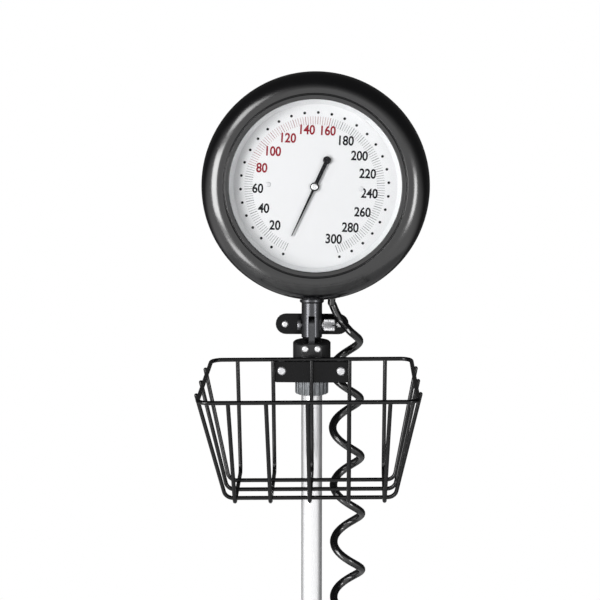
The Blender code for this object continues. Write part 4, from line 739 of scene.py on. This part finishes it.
def slab(name, outlines, ends, parent, look=None, rotation=UPRIGHT, location=ORIGIN):
    """A flat outline with its holes, between two heights along local Z."""
    low, high = ends
    data = bpy.data.curves.new(name + "_outline", "CURVE")
    data.dimensions = "2D"
    data.fill_mode = "BOTH"
    data.extrude = (high - low) / 2.0
    for outline in outlines:
        spline = data.splines.new("POLY")
        spline.points.add(len(outline) - 1)
        for point, (x, y) in zip(spline.points, outline):
            point.co = (x, y, 0.0, 1.0)
        spline.use_cyclic_u = True
    mesh = mesh_and_remove(name, data)
    mesh.transform(Matrix.Translation((0.0, 0.0, (low + high) / 2.0)))
    return place(name, tidy_mesh(mesh), parent, look, rotation, location)


def domed_ends(points, radius):
    """Stations along a path, with steps inside both ends for round ends."""
    ends = []
    for tip, inner in ((points[0], points[1]), (points[-1], points[-2])):
        ahead = (Vector(tip) - Vector(inner)).normalized()
        turns = [END_TURN * i / END_STEPS for i in range(END_STEPS + 1)]
        ends.append([(Vector(tip) - ahead * radius * (1.0 - math.sin(a)), math.cos(a)) for a in turns])
    return ends[0][::-1] + [(p, 1.0) for p in points[1:-1]] + ends[1]


def wire(name, stations, radius, parent, look=None, closed=False, roundness=2):
    """A round wire along stations, each a point and its share of the radius."""
    data = bpy.data.curves.new(name + "_path", "CURVE")
    data.dimensions = "3D"
    data.bevel_depth = radius
    data.bevel_resolution = roundness
    data.use_fill_caps = True
    data.twist_mode = "MINIMUM"
    spline = data.splines.new("POLY")
    spline.points.add(len(stations) - 1)
    for point, (spot, share) in zip(spline.points, stations):
        point.co = (*spot, 1.0)
        point.radius = share
    spline.use_cyclic_u = closed
    return place(name, tidy_mesh(mesh_and_remove(name, data)), parent, look)


def even(points):
    """Stations of the full radius."""
    return [(p, 1.0) for p in points]


def block(box, parent, rotation=UPRIGHT, name="block", look=None):
    """A box, as a rule one that cuts or joins."""
    work = bmesh.new()
    bmesh.ops.create_cube(work, size=1.0)
    for vertex in work.verts:
        vertex.co = [lo + (hi - lo) * (c + 0.5) for lo, hi, c in zip(*box, vertex.co)]
    return place(name, store(work, bpy.data.meshes.new(name)), parent, look, rotation)


def boolean(thing, tools, operation):
    """Cut or join a piece with tools."""
    for tool in tools:
        step = thing.modifiers.new(operation.title(), "BOOLEAN")
        step.operation = operation
        step.solver = "EXACT"
        step.object = tool


def cut(thing, *tools):
    """Take the tools out of a piece."""
    boolean(thing, tools, "DIFFERENCE")


def fuse(thing, *tools):
    """Join the tools to a piece."""
    boolean(thing, tools, "UNION")


def bevel(thing, width, segments, angle):
    """Break the edges of a piece that are sharper than an angle."""
    step = thing.modifiers.new("Edges", "BEVEL")
    step.width = width
    step.segments = segments
    step.limit_method = "ANGLE"
    step.angle_limit = angle


def fillet(corners, radius, steps, closed=False):
    """A path through corners, each rounded by an arc of the radius."""
    corners = [Vector(c) for c in corners]
    count = len(corners)
    path = []
    for i, corner in enumerate(corners):
        if not closed and i in (0, count - 1):
            path.append(corner)
            continue
        back = (corners[i - 1] - corner).normalized()
        ahead = (corners[(i + 1) % count] - corner).normalized()
        half = back.angle(ahead) / 2.0
        middle = corner + (back + ahead).normalized() * (radius / math.sin(half))
        start = corner + back * (radius / math.tan(half))
        arm = start - middle
        side = (corner - start).normalized() * radius
        for j in range(steps + 1):
            angle = (math.pi - 2.0 * half) * j / steps
            path.append(middle + arm * math.cos(angle) + side * math.sin(angle))
    return path


def curve_point(a, b, c, d, t):
    """A point between b and c of a smooth curve through four points."""
    rise = (2.0 * a - 5.0 * b + 4.0 * c - d) * t * t + (3.0 * b - a - 3.0 * c + d) * t * t * t
    return b + ((c - a) * t + rise) / 2.0


def screw(name, kind, parent, look, seat, rotation, pieces=(), past=GAP):
    """A pan head screw on its seat, and its hole in pieces, a little past the shank."""
    radius, height, shank, length = kind
    half = height / 2.0
    section = (
        (0.0, height), (radius - half, height), (radius, half), (radius, GAP), (shank, GAP), (shank, -length),
        (0.0, -length),
    )
    lathe(name, section, SMALL_SIDES, parent, look, rotation, seat)
    for piece in pieces:
        cut(piece, bar((shank + GAP, -length - past, OVERRUN), parent, rotation, seat))


stand = empty("stand_axis", None, (0.0, POLE_Y, 0.0))
head = empty("head_axis", stand, (0.0, 0.0, HINGE_Z))
tilt = empty("tilt_axis", head, ORIGIN, (-REST_TILT, 0.0, 0.0))
gauge = empty(
    "gauge_axis", tilt,
    (GAUGE_RISE * math.sin(GAUGE_LEAN), -GAUGE_FORWARD, NECK_TOP + GAUGE_RISE * math.cos(GAUGE_LEAN)),
    (QUARTER, GAUGE_LEAN, 0.0),
)
dial = empty("dial_axis", gauge, DIAL_SHIFT, (0.0, 0.0, -DIAL_TURN))


# Base and pole

def make_leg(hub, number, direction):
    """A tapered leg with a tenon in the hub's pocket and a boss over its caster."""
    cut(hub, block(LEG_POCKET, stand, direction))
    turn = empty("leg_axis_%d" % number, stand, ORIGIN, direction)
    over = (CASTER_REACH, 0.0, 0.0)
    leg = slab("leg_%d" % number, [LEG_SIDE], LEG_ENDS, turn, NYLON_BLACK, FRONTWARD)
    bevel(leg, LEG_CHAMFER, 1, LEG_SHARP)
    fuse(leg, block(LEG_TENON, turn), bar(LEG_BOSS, turn, UPRIGHT, over, TUBE_SIDES))
    cut(leg, bar(STEM_BORE, turn, UPRIGHT, over))


def make_caster(number, direction):
    """A swivelling fork with its riveted axle, and the wheel on it."""
    turn = empty("caster_turn_%d" % number, stand, ORIGIN, direction)
    swivel = empty("caster_swivel_%d" % number, turn, (CASTER_REACH, 0.0, 0.0))
    axle_at = (CASTER_TRAIL, 0.0, AXLE_Z)
    fork = slab("caster_fork_%d" % number, [FORK_SIDE], FORK_ENDS, swivel, STEEL, FRONTWARD)
    cut(fork, block(FORK_GAP, swivel))
    fuse(fork, bar(AXLE, swivel, FRONTWARD, axle_at), bar(STEM, swivel))
    section = HALF_WHEEL + tuple((r, -z) for r, z in reversed(HALF_WHEEL))
    flat_down = (QUARTER, math.pi / TUBE_SIDES, 0.0)
    lathe("caster_wheel_%d" % number, section, TUBE_SIDES, swivel, TYRE_GREY, flat_down, axle_at)


def make_base():
    """The hub with its legs and casters, the first of them in front."""
    hub = lathe("base_hub", HUB, HUB_SIDES, stand, NYLON_BLACK)
    for i in range(LEGS):
        direction = (0.0, 0.0, -QUARTER + math.tau * i / LEGS)
        make_leg(hub, i + 1, direction)
        make_caster(i + 1, direction)


def make_pole():
    """Outer tube, its bush and lock collar, and the inner tube with its glide."""
    rows = (
        ("outer_tube", OUTER_TUBE, SATIN_BLACK), ("tube_bush", TUBE_BUSH, NYLON_BLACK),
        ("inner_tube", INNER_TUBE, CHROME), ("tube_glide", TUBE_GLIDE, NYLON_BLACK),
    )
    for name, section, look in rows:
        lathe(name, section, TUBE_SIDES, stand, look)
    collar = slab("lock_collar", [ribbed(*LOCK_GRIP)], LOCK_ENDS, stand, SATIN_BLACK)
    for size in (LOCK_SEAT, LOCK_BORE):
        cut(collar, bar(size, stand, sides=TUBE_SIDES))


# Swivel head

def tab():
    """Outline of the bracket, with square upper corners and round lower ones."""
    side = BRACKET_HALF - BRACKET_CORNER
    low = BRACKET_BOTTOM + BRACKET_CORNER
    start = arc((-side, low), BRACKET_CORNER, math.pi, 3.0 * QUARTER, CORNER_STEPS)
    end = arc((side, low), BRACKET_CORNER, 3.0 * QUARTER, math.tau, CORNER_STEPS)
    return [(BRACKET_HALF, BRACKET_TOP), (-BRACKET_HALF, BRACKET_TOP)] + start + end


def make_bracket():
    """Sleeve with a front flange and two facets, its hinge tongue, plates, screws and clamp nut."""
    collar = lathe("swivel_collar", COLLAR, HUB_SIDES, head, SATIN_METAL)
    fuse(collar, slab("flange", [tab()], FLANGE_ENDS, head, None, FRONTWARD))
    cut(collar, block(FRONT_FACET, head), block(BACK_FACET, head))
    tongue = lathe("hinge_tongue", TONGUE_SPIGOT, TUBE_SIDES, head, GUN_METAL)
    outline = arc(ORIGIN, TONGUE_ROUND, QUARTER, 3.0 * QUARTER, SMALL_SIDES)
    outline += [(TONGUE_DEPTH, -TONGUE_ROUND), (TONGUE_DEPTH, TONGUE_ROUND)]
    fuse(tongue, slab("blade", [outline], TONGUE_ENDS, head, None, ALONG_X))
    cut(tongue, bar(TONGUE_WAY, head, ALONG_X))
    outline = arc((REAR_STRAIGHT, REAR_Z), REAR_END, -QUARTER, QUARTER, REAR_STEPS)
    outline += arc((-REAR_STRAIGHT, REAR_Z), REAR_END, QUARTER, 3.0 * QUARTER, REAR_STEPS)
    rear = slab("rear_plate", [outline], REAR_ENDS, head, GLOSS_BLACK, FRONTWARD)
    fuse(rear, block(REAR_STEM, head))
    plate = slab("basket_plate", [tab()], PLATE_ENDS, head, GLOSS_BLACK, FRONTWARD)
    rows = (
        ("collar_screw_", COLLAR_SCREW, PLATED, COLLAR_SEAT, (collar, tongue), GAP),
        ("basket_screw_", BASKET_SCREW, STEEL, BASKET_SEAT, (collar, plate), OVERRUN),
        ("rear_plate_screw_", REAR_SCREW, PLATED, REAR_SEAT, (rear,), GAP),
    )
    for side, end in LEFT_RIGHT:
        for name, kind, look, (x, y, z), pieces, past in rows:
            screw(name + end, kind, head, look, (side * x, y, z), FRONTWARD, pieces, past)
    screw("stem_screw", STEM_SCREW, head, PLATED, STEM_SEAT, BACKWARD, (rear, collar))
    nut = slab("clamp_nut", [ribbed(*NUT_GRIP)], NUT_ENDS, head, NUT_GREY)
    cut(nut, bar(NUT_BORE, head, sides=TUBE_SIDES))


def hung(*points):
    """Points of the basket, which hangs lower on its left."""
    pivot = Vector((0.0, 0.0, RIM_Z))
    lean = Matrix.Rotation(-BASKET_LEAN, 3, "Y")
    return [pivot + lean @ (Vector(p) - pivot) for p in points]


def weld_on(basket, *points):
    """Add a bent wire with round ends to the basket."""
    path = fillet(hung(*points), WIRE_BEND, BEND_STEPS)
    fuse(basket, wire("basket_wire", domed_ends(path, WIRE), WIRE, head, None, False, WIRE_ROUNDNESS))


def make_basket():
    """A rim, five wires from back to front and three from side to side, welded together."""
    front_z = RIM_Z - RIM_FALL
    rim = hung(
        (-BACK_HALF, -BASKET_BACK, RIM_Z), (BACK_HALF, -BASKET_BACK, RIM_Z),
        (FRONT_HALF, -RIM_FRONT, front_z), (-FRONT_HALF, -RIM_FRONT, front_z),
    )
    loop = even(fillet(rim, RIM_CORNER, BEND_STEPS, True))
    basket = wire("basket", loop, RIM_WIRE, head, WIRE_BLACK, True, WIRE_ROUNDNESS)
    for back, foot, front in LONG_WIRES:
        weld_on(
            basket, (back, -BASKET_BACK, RIM_Z), (foot, -BASKET_BACK, FLOOR_Z), (foot, -FLOOR_FRONT, FLOOR_Z),
            (front, -RIM_FRONT, front_z),
        )
    on_top = FLOOR_Z + 2.0 * WIRE - WELD
    for at_rim, at_floor in CROSS_WIRES:
        along = (at_rim - BASKET_BACK) / (RIM_FRONT - BASKET_BACK)
        top = RIM_Z - RIM_FALL * along + BAR_RISE
        outside = BACK_HALF + (FRONT_HALF - BACK_HALF) * along + RIM_WIRE + WIRE - WELD
        weld_on(
            basket, (-outside, -at_rim, top), (-FLOOR_HALF, -at_floor, on_top),
            (FLOOR_HALF, -at_floor, on_top), (outside, -at_rim, top),
        )


# Neck and gauge

def make_neck():
    """The neck post with its cheeks, flared top and leaning spigot, and its nut."""
    post = lathe("neck_post", NECK, HUB_SIDES, tilt, NECK_BLACK)
    fuse(post, lathe("neck_spigot", NECK_SPIGOT, TUBE_SIDES, gauge, None, BACKWARD, NECK_LINE))
    cut(post, block(NECK_SLOT, tilt), bar(NECK_WAY, tilt, ALONG_X))
    outlines = [circle(NECK_NUT_RADIUS, 6), circle(NECK_NUT_BORE, TUBE_SIDES)]
    slab("neck_nut", outlines, NECK_NUT_ENDS, gauge, STEEL, BACKWARD, NECK_LINE)


def make_knob():
    """A grip with diamond knurling between two bevels, a boss, a bore and a slot."""
    work = bmesh.new()
    sides = KNURL_ROUND * KNURL_STEPS
    first = KNOB_LOW + KNOB_BEVEL
    span = KNOB_HIGH - KNOB_BEVEL - first
    heights = [KNOB_LOW, *(first + span * i / KNURL_ROWS for i in range(KNURL_ROWS + 1)), KNOB_HIGH]
    rings = []
    for z in heights:
        ring = []
        for i in range(sides):
            run = (z - KNOB_LOW) / KNURL_PITCH
            one, two = (abs((i / KNURL_STEPS + way * run) % 1.0 - 0.5) * 2.0 for way in (1.0, -1.0))
            r = KNOB_RADIUS - (KNOB_RADIUS - KNOB_VALLEY) * max(one, two) ** 2
            if z in (KNOB_LOW, KNOB_HIGH):
                r = KNOB_VALLEY - KNOB_BEVEL / 2.0
            ring.append(work.verts.new((*polar(r, math.tau * i / sides), z)))
        rings.append(ring)
    for lower, upper in zip(rings, rings[1:]):
        for i in range(sides):
            j = (i + 1) % sides
            work.faces.new((lower[i], lower[j], upper[j], upper[i]))
    work.faces.new(rings[0])
    work.faces.new(rings[-1])
    mesh = tidy_mesh(store(work, bpy.data.meshes.new("tilt_knob")))
    knob = place("tilt_knob", mesh, tilt, KNOB_METAL, ALONG_X)
    fuse(knob, bar(KNOB_BOSS, tilt, ALONG_X, sides=TUBE_SIDES))
    cut(knob, bar(KNOB_BORE, tilt, ALONG_X), block(KNOB_SLOT, tilt))


def make_case():
    """The drum with its inner flange and neck boss, the back cover and the cover's screws."""
    case = lathe("gauge_case", CASE, BIG_SIDES, gauge, SATIN_BLACK)
    fuse(case, bar(NECK_BOSS, gauge, BACKWARD, NECK_LINE, TUBE_SIDES))
    cut(case, bar(NECK_BORE, gauge, BACKWARD, NECK_LINE, TUBE_SIDES))
    cut(case, bar(INLET_BORE, gauge, BACKWARD, INLET_LINE))
    cover = lathe("back_cover", BACK_COVER, BIG_SIDES, gauge, SATIN_BLACK)
    for i in range(BACK_SCREWS):
        seat = (*polar(COVER_CIRCLE, QUARTER + math.tau * i / BACK_SCREWS), COVER_SEAT)
        screw("back_screw_%d" % (i + 1), BACK_SCREW, gauge, STEEL, seat, FLIPPED, (case, cover), OVERRUN)


def make_bezel():
    """The rounded rim over the drum, a shell with a groove round its lip."""
    spots = [Vector(p) for p in BEZEL_CURVE]
    spots = [2.0 * spots[0] - spots[1]] + spots + [2.0 * spots[-1] - spots[-2]]
    outside = []
    for i in range(len(spots) - 3):
        outside += [curve_point(*spots[i:i + 4], j / CURVE_STEPS) for j in range(CURVE_STEPS)]
    outside.append(spots[-2])
    groove = []
    for i in range(2 * CURVE_STEPS + 1):
        share = i / CURVE_STEPS - 1.0
        depth = GROOVE_DEPTH * (1.0 + math.cos(math.pi * share)) / 2.0
        groove.append((GROOVE + GROOVE_REACH * share, GROOVE_EDGE - depth))
    lip = arc(LIP_CENTRE, LIP_ROUND, math.pi, QUARTER, CURVE_STEPS)
    section = lip + groove + [(p.x, p.y) for p in outside[1:]] + list(BEZEL_INSIDE)
    lathe("bezel_ring", section, BIG_SIDES, gauge, SATIN_BLACK)


def make_face():
    """Lens, spacer ring, dial plate and its two screws."""
    lathe("lens", LENS, BIG_SIDES, gauge, GLASS)
    lathe("dial_ring", DIAL_RING, BIG_SIDES, gauge, SILVER_RING)
    outlines = [circle(DIAL_RADIUS, BIG_SIDES), circle(DIAL_BORE, SMALL_SIDES)]
    for side, name in LEFT_RIGHT:
        outlines.append(circle(PILLAR_BORE, SMALL_SIDES, (side * PILLAR_SIDE, 0.0)))
        seat = (side * PILLAR_SIDE, 0.0, DIAL_FRONT)
        screw("dial_screw_" + name, DIAL_SCREW, dial, STEEL, seat, UPRIGHT)
    slab("dial_plate", outlines, DIAL_ENDS, dial, DIAL_WHITE)


def teeth(radius, teeth_round, count, first=0.0):
    """Outline of a run of gear teeth, from the first tooth's angle."""
    pitch = math.tau / teeth_round
    low = radius - DEDENDUM
    depth = DEDENDUM + ADDENDUM
    return [polar(low + depth * up, first + (i + share) * pitch) for i in range(count) for share, up in TOOTH]


def make_movement():
    """Frame with pillars and pin, capsule, sector and pinion, set with the pointer at its zero."""
    chassis = block(FRAME_PLATE, dial, UPRIGHT, "movement_frame", STEEL)
    fuse(chassis, block(FRAME_TONGUE, dial))
    for side, name in LEFT_RIGHT:
        at = (side * PILLAR_SIDE, 0.0, 0.0)
        fuse(chassis, lathe("pillar_" + name, PILLAR, SMALL_SIDES, dial, None, UPRIGHT, at))
    fuse(chassis, bar(SECTOR_PIN, dial, UPRIGHT, SECTOR_PIVOT), bar(BEARING, dial))
    cut(chassis, bar(ARBOR_WAY, dial))
    lathe("capsule", CAPSULE, HUB_SIDES, gauge, BRASS, UPRIGHT, (0.0, -CAPSULE_DROP, 0.0))
    first = -math.tau / SECTOR_ROUND * (SECTOR_TEETH - 1) / 2.0
    outline = teeth(SECTOR_RADIUS, SECTOR_ROUND, SECTOR_TEETH, first)
    outline += arc(ORIGIN, SECTOR_HUB, QUARTER, 3.0 * QUARTER, SMALL_SIDES)
    outlines = [outline, circle(SECTOR_BORE, SMALL_SIDES)]
    turn = (0.0, 0.0, -FULL_SWEEP / 2.0 * PINION_TEETH / SECTOR_ROUND)
    slab("sector_gear", outlines, GEAR_ENDS, dial, BRASS, turn, SECTOR_PIVOT)
    outline = teeth(PINION_RADIUS, PINION_TEETH, PINION_TEETH)
    turn = (0.0, 0.0, FULL_SWEEP / 2.0)
    fuse(slab("pinion_arbor", [outline], GEAR_ENDS, dial, STEEL, turn), bar(ARBOR, dial))


def make_pointer():
    """The pointer with its round counterweight, and the cap over its hub."""
    arm = math.asin(ARM_HALF / POINTER_HUB)
    tail = math.asin(TAIL_HALF / POINTER_HUB)
    weight = math.asin(TAIL_HALF / POINTER_WEIGHT)
    outline = [(POINTER_REACH, -TIP_HALF), (POINTER_REACH, TIP_HALF)]
    outline += arc(ORIGIN, POINTER_HUB, arm, math.pi - tail, HUB_STEPS)
    outline += arc((-POINTER_TAIL, 0.0), POINTER_WEIGHT, weight, math.tau - weight, SMALL_SIDES)
    outline += arc(ORIGIN, POINTER_HUB, math.pi + tail, math.tau - arm, HUB_STEPS)
    outlines = [outline, circle(ARBOR_BORE, SMALL_SIDES)]
    slab("pointer", outlines, POINTER_ENDS, dial, POINTER_BLACK, (0.0, 0.0, ZERO_ANGLE))
    lathe("pointer_cap", POINTER_CAP, TUBE_SIDES, dial, CAP_SILVER)


def make_inlet():
    """The gland that the hose meets and the pipe from it to the capsule."""
    lathe("inlet_gland", GLAND, TUBE_SIDES, gauge, BRASS, BACKWARD, INLET_LINE)
    away = Vector((*polar(1.0, PIPE_ANGLE), 0.0))
    start = Vector((INLET_SIDE, GLAND_STEM_TOP + GAP, INLET_Z))
    end = Vector((0.0, -CAPSULE_DROP, CAPSULE_MIDDLE)) + away * (CAPSULE_RADIUS + GAP)
    run = (end - start).length * PIPE_RUN_SHARE
    path = fillet((start, start + Vector((0.0, run, 0.0)), end + away * run, end), PIPE_BEND, PIPE_BEND_STEPS)
    wire("inlet_pipe", even(path), PIPE_RADIUS, gauge, BRASS)


# Hose

def smooth_route(points):
    """Evenly spaced points on a smooth curve through a route, with straight ends."""
    points = [Vector(p) for p in points]
    dense = []
    for i in range(len(points) - 3):
        dense += [curve_point(*points[i:i + 4], j / ROUTE_STEPS) for j in range(ROUTE_STEPS)]
    dense.append(points[-2])
    total = sum((b - a).length for a, b in zip(dense, dense[1:]))
    count = max(2, round(total / LEAD_SPACING))
    path = [points[0], dense[0]]
    walked = 0.0
    wanted = total / count
    for a, b in zip(dense, dense[1:]):
        step = (b - a).length
        while walked + step >= wanted - MERGE and len(path) <= count:
            path.append(a + (b - a) * ((wanted - walked) / step))
            wanted += total / count
        walked += step
    return path + [dense[-1], points[-1]]


def coil_path(points, bend_steps):
    """The hanging curls, each of the same length of tube, so it widens as it closes."""
    path = []
    z = COIL_TOP + PITCH_TOP * LEAD_IN / math.tau
    for i in range((OPEN_TURNS + CLOSING_TURNS) * points + 1):
        turns = i / points
        share = max(0.0, (turns - OPEN_TURNS) / CLOSING_TURNS)
        pitch = PITCH_LOW + (PITCH_TOP - PITCH_LOW) * (1.0 - share ** FALL_SHARE)
        radius = math.sqrt(TURN_LENGTH ** 2 - pitch ** 2) / math.tau
        open_x = COIL_X + COIL_DRIFT * min(turns, OPEN_TURNS)
        middle = (open_x + (COIL_X_LOW - open_x) * share, COIL_Y + (COIL_Y_LOW - COIL_Y) * share)
        path.append(Vector((*polar(radius, math.tau * turns - LEAD_IN, middle), z)))
        z -= pitch / points
    path.insert(0, path[0] + (path[0] - path[1]).normalized() * (2.0 * HOSE_RADIUS))
    ahead = path[-1] - path[-2]
    ahead.z = 0.0
    ahead.normalize()
    turn_in = path[-1] + ahead * HOSE_RADIUS
    for j in range(1, bend_steps + 1):
        angle = QUARTER * j / bend_steps
        drop = Vector((0.0, 0.0, -TAIL_BEND * (1.0 - math.cos(angle))))
        path.append(turn_in + ahead * (TAIL_BEND * math.sin(angle)) + drop)
    path.append(path[-1] - Vector((0.0, 0.0, TAIL_RUN)))
    return path


def fine_path():
    """The line of the whole hose, from the gland to the connector."""
    to_head = head.matrix_world.inverted() @ gauge.matrix_world
    mouth = to_head @ Vector((INLET_SIDE, GLAND_FOOT - GAP, INLET_Z))
    down = to_head.to_3x3() @ Vector((0.0, -1.0, 0.0))
    curls = coil_path(FINE_POINTS, FINE_STEPS)
    back = (curls[0] - curls[1]).normalized()
    route = [mouth, mouth + down * HOSE_RADIUS, *LEAD_ROUTE, curls[0] + back * HOSE_RADIUS, curls[0]]
    return [head.matrix_world @ p for p in smooth_route(route)[:-1] + curls]


# Print

def scale_angle(value):
    """Direction of a pressure on the dial."""
    return ZERO_ANGLE - FULL_SWEEP * value / SCALE_TOP


def thicken(work):
    """Give flat print its thickness."""
    lifted = bmesh.ops.extrude_face_region(work, geom=list(work.faces))
    verts = [v for v in lifted["geom"] if isinstance(v, bmesh.types.BMVert)]
    bmesh.ops.translate(work, verts=verts, vec=(0.0, 0.0, PRINT_DEPTH))
    bmesh.ops.recalc_face_normals(work, faces=work.faces)


def flat_mark(name, outlines, look):
    """Thin print on the dial's face."""
    work = bmesh.new()
    for outline in outlines:
        work.faces.new([work.verts.new((x, y, DIAL_FRONT + PRINT_LIFT)) for x, y in outline])
    thicken(work)
    place(name, store(work, bpy.data.meshes.new(name)), dial, look)


def tick(value):
    """Outline of one scale mark."""
    half = TICK_HALF if value % DOT_EVERY else LONG_TICK_HALF
    along = Vector(polar(1.0, scale_angle(value)))
    across = Vector((-along.y, along.x)) * half
    corners = ((TICK_INNER, -1.0), (TICK_OUTER, -1.0), (TICK_OUTER, 1.0), (TICK_INNER, 1.0))
    return [tuple(along * reach + across * side) for reach, side in corners]


def make_number(value):
    """One number of the scale, upright."""
    name = "number_%d" % value
    data = bpy.data.curves.new(name, "FONT")
    data.body = str(value)
    data.align_x = "CENTER"
    data.align_y = "CENTER"
    data.size = 1.0
    data.resolution_u = NUMBER_STEPS
    data.offset = NUMBER_WEIGHT
    mesh = mesh_and_remove(name, data)
    (left, right), (foot, top) = (
        (min(values), max(values)) for values in zip(*(v.co.xy for v in mesh.vertices))
    )
    size = NUMBER_HEIGHT / (top - foot)
    angle = scale_angle(value)
    wide = (right - left) * size * NUMBER_WIDTH
    room = (abs(math.cos(angle)) * wide + abs(math.sin(angle)) * NUMBER_HEIGHT) / 2.0
    spot = Vector((*polar(NUMBER_REACH - room, angle), DIAL_FRONT + PRINT_LIFT)) + Vector(NUMBER_SHIFT)
    fit = Matrix.Translation(spot) @ Matrix.Diagonal((size * NUMBER_WIDTH, size, 1.0, 1.0))
    mesh.transform(fit @ Matrix.Translation((-(left + right) / 2.0, -(foot + top) / 2.0, 0.0)))
    work = welded(mesh, PRINT_MERGE)
    thicken(work)
    place(name, store(work, mesh), dial, PRINT_RED if value in RED else PRINT_BLACK)


def make_scale():
    """Dots, ticks and numbers."""
    values = range(0, SCALE_TOP + 1, TICK_EVERY)
    flat_mark("ticks_black", [tick(v) for v in values if v not in RED], PRINT_BLACK)
    flat_mark("ticks_red", [tick(v) for v in values if v in RED], PRINT_RED)
    spots = [polar(DOT_CIRCLE, scale_angle(v)) for v in range(0, SCALE_TOP + 1, DOT_EVERY)]
    flat_mark("dots", [circle(DOT_RADIUS, DOT_SIDES, spot) for spot in spots], PRINT_BLACK)
    for value in range(NUMBER_EVERY, SCALE_TOP + 1, NUMBER_EVERY):
        make_number(value)


make_base()
make_pole()
make_bracket()
make_basket()
make_neck()
lathe("hinge_bolt", BOLT, SMALL_SIDES, tilt, BOLT_GREY, ALONG_X)
make_knob()
make_case()
make_bezel()
make_face()
make_movement()
make_pointer()
make_inlet()
end_of_hose = coil_path(CURL_POINTS, TAIL_STEPS)[-1]
lathe("hose_connector", CONNECTOR, TUBE_SIDES, head, CHROME, UPRIGHT, end_of_hose)
make_scale()


# Finished pieces

def edge_width(name):
    """How wide the softened edges of a piece are."""
    if name.startswith(PRINTED):
        return 0.0
    if "screw" in name:
        return SCREW_EDGE
    return EDGES.get(name.rstrip("0123456789"), EDGE)


def settle(name, body):
    """Turn a piece into plain mesh with softened edges, riding on its body."""
    thing = MADE[name]
    width = edge_width(name)
    mesh = mesh_of(thing)
    mesh.transform(thing.matrix_world)
    work = welded(mesh, FINE_MERGE)
    if width:
        bmesh.ops.dissolve_limit(work, angle_limit=FLAT, verts=work.verts, edges=work.edges)
    smooth(store(work, mesh))
    piece = link("piece_" + name, mesh)
    if width:
        bevel(piece, width, 2, SHARP)
    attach(piece, body)
    if name in frame["nodes"]:
        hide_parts(name)
    return piece


bpy.context.view_layer.update()
for body_name, nodes in frame["record"]["behaviour"]["bodies"].items():
    for piece_name in nodes:
        if piece_name in MADE and piece_name != "hose_connector":
            settle(piece_name, body_name)
for piece_name in [name for name in MADE if name.startswith(PRINTED)]:
    settle(piece_name, "gauge")

hose_path = fine_path()
hose = wire("hose", even(hose_path), HOSE_RADIUS, None, HOSE_BLACK, False, HOSE_ROUNDNESS)
hose.name = "piece_hose"
del MADE["hose"]
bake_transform(hose)
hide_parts("hose_lead", "hose_coil")
connector = settle("hose_connector", "head")

for thing in list(MADE.values()) + LOOSE:
    bpy.data.objects.remove(thing)


# Floor

FLOOR_LIFT = 0.34
FLOOR_RADIUS = 1.6
FLOOR_DROP = 0.0005


def make_floor():
    """A pale round floor, lifted towards white where the camera sees it."""
    work = bmesh.new()
    bmesh.ops.create_circle(work, cap_ends=True, segments=HUB_SIDES, radius=FLOOR_RADIUS)
    mesh = store(work, bpy.data.meshes.new("floor"))
    floor = link("floor", mesh)
    floor.location = (0.0, 0.0, -FLOOR_DROP)
    look = surface("floor_white", (0.86, 0.86, 0.86), 0.6, 0.0, (8.0, 0.0002), (3.0, 0.05, 0.01))
    tree = look.node_tree
    shader = tree.nodes["Principled BSDF"]
    set_values(shader, {"Emission Color": WHITE})
    path = node(tree, "LightPath")
    lift = node(tree, "Math", {1: FLOOR_LIFT}, operation="MULTIPLY")
    connect(tree, (path, "Is Camera Ray", lift, 0), (lift, 0, shader, "Emission Strength"))
    mesh.materials.append(look)


make_floor()
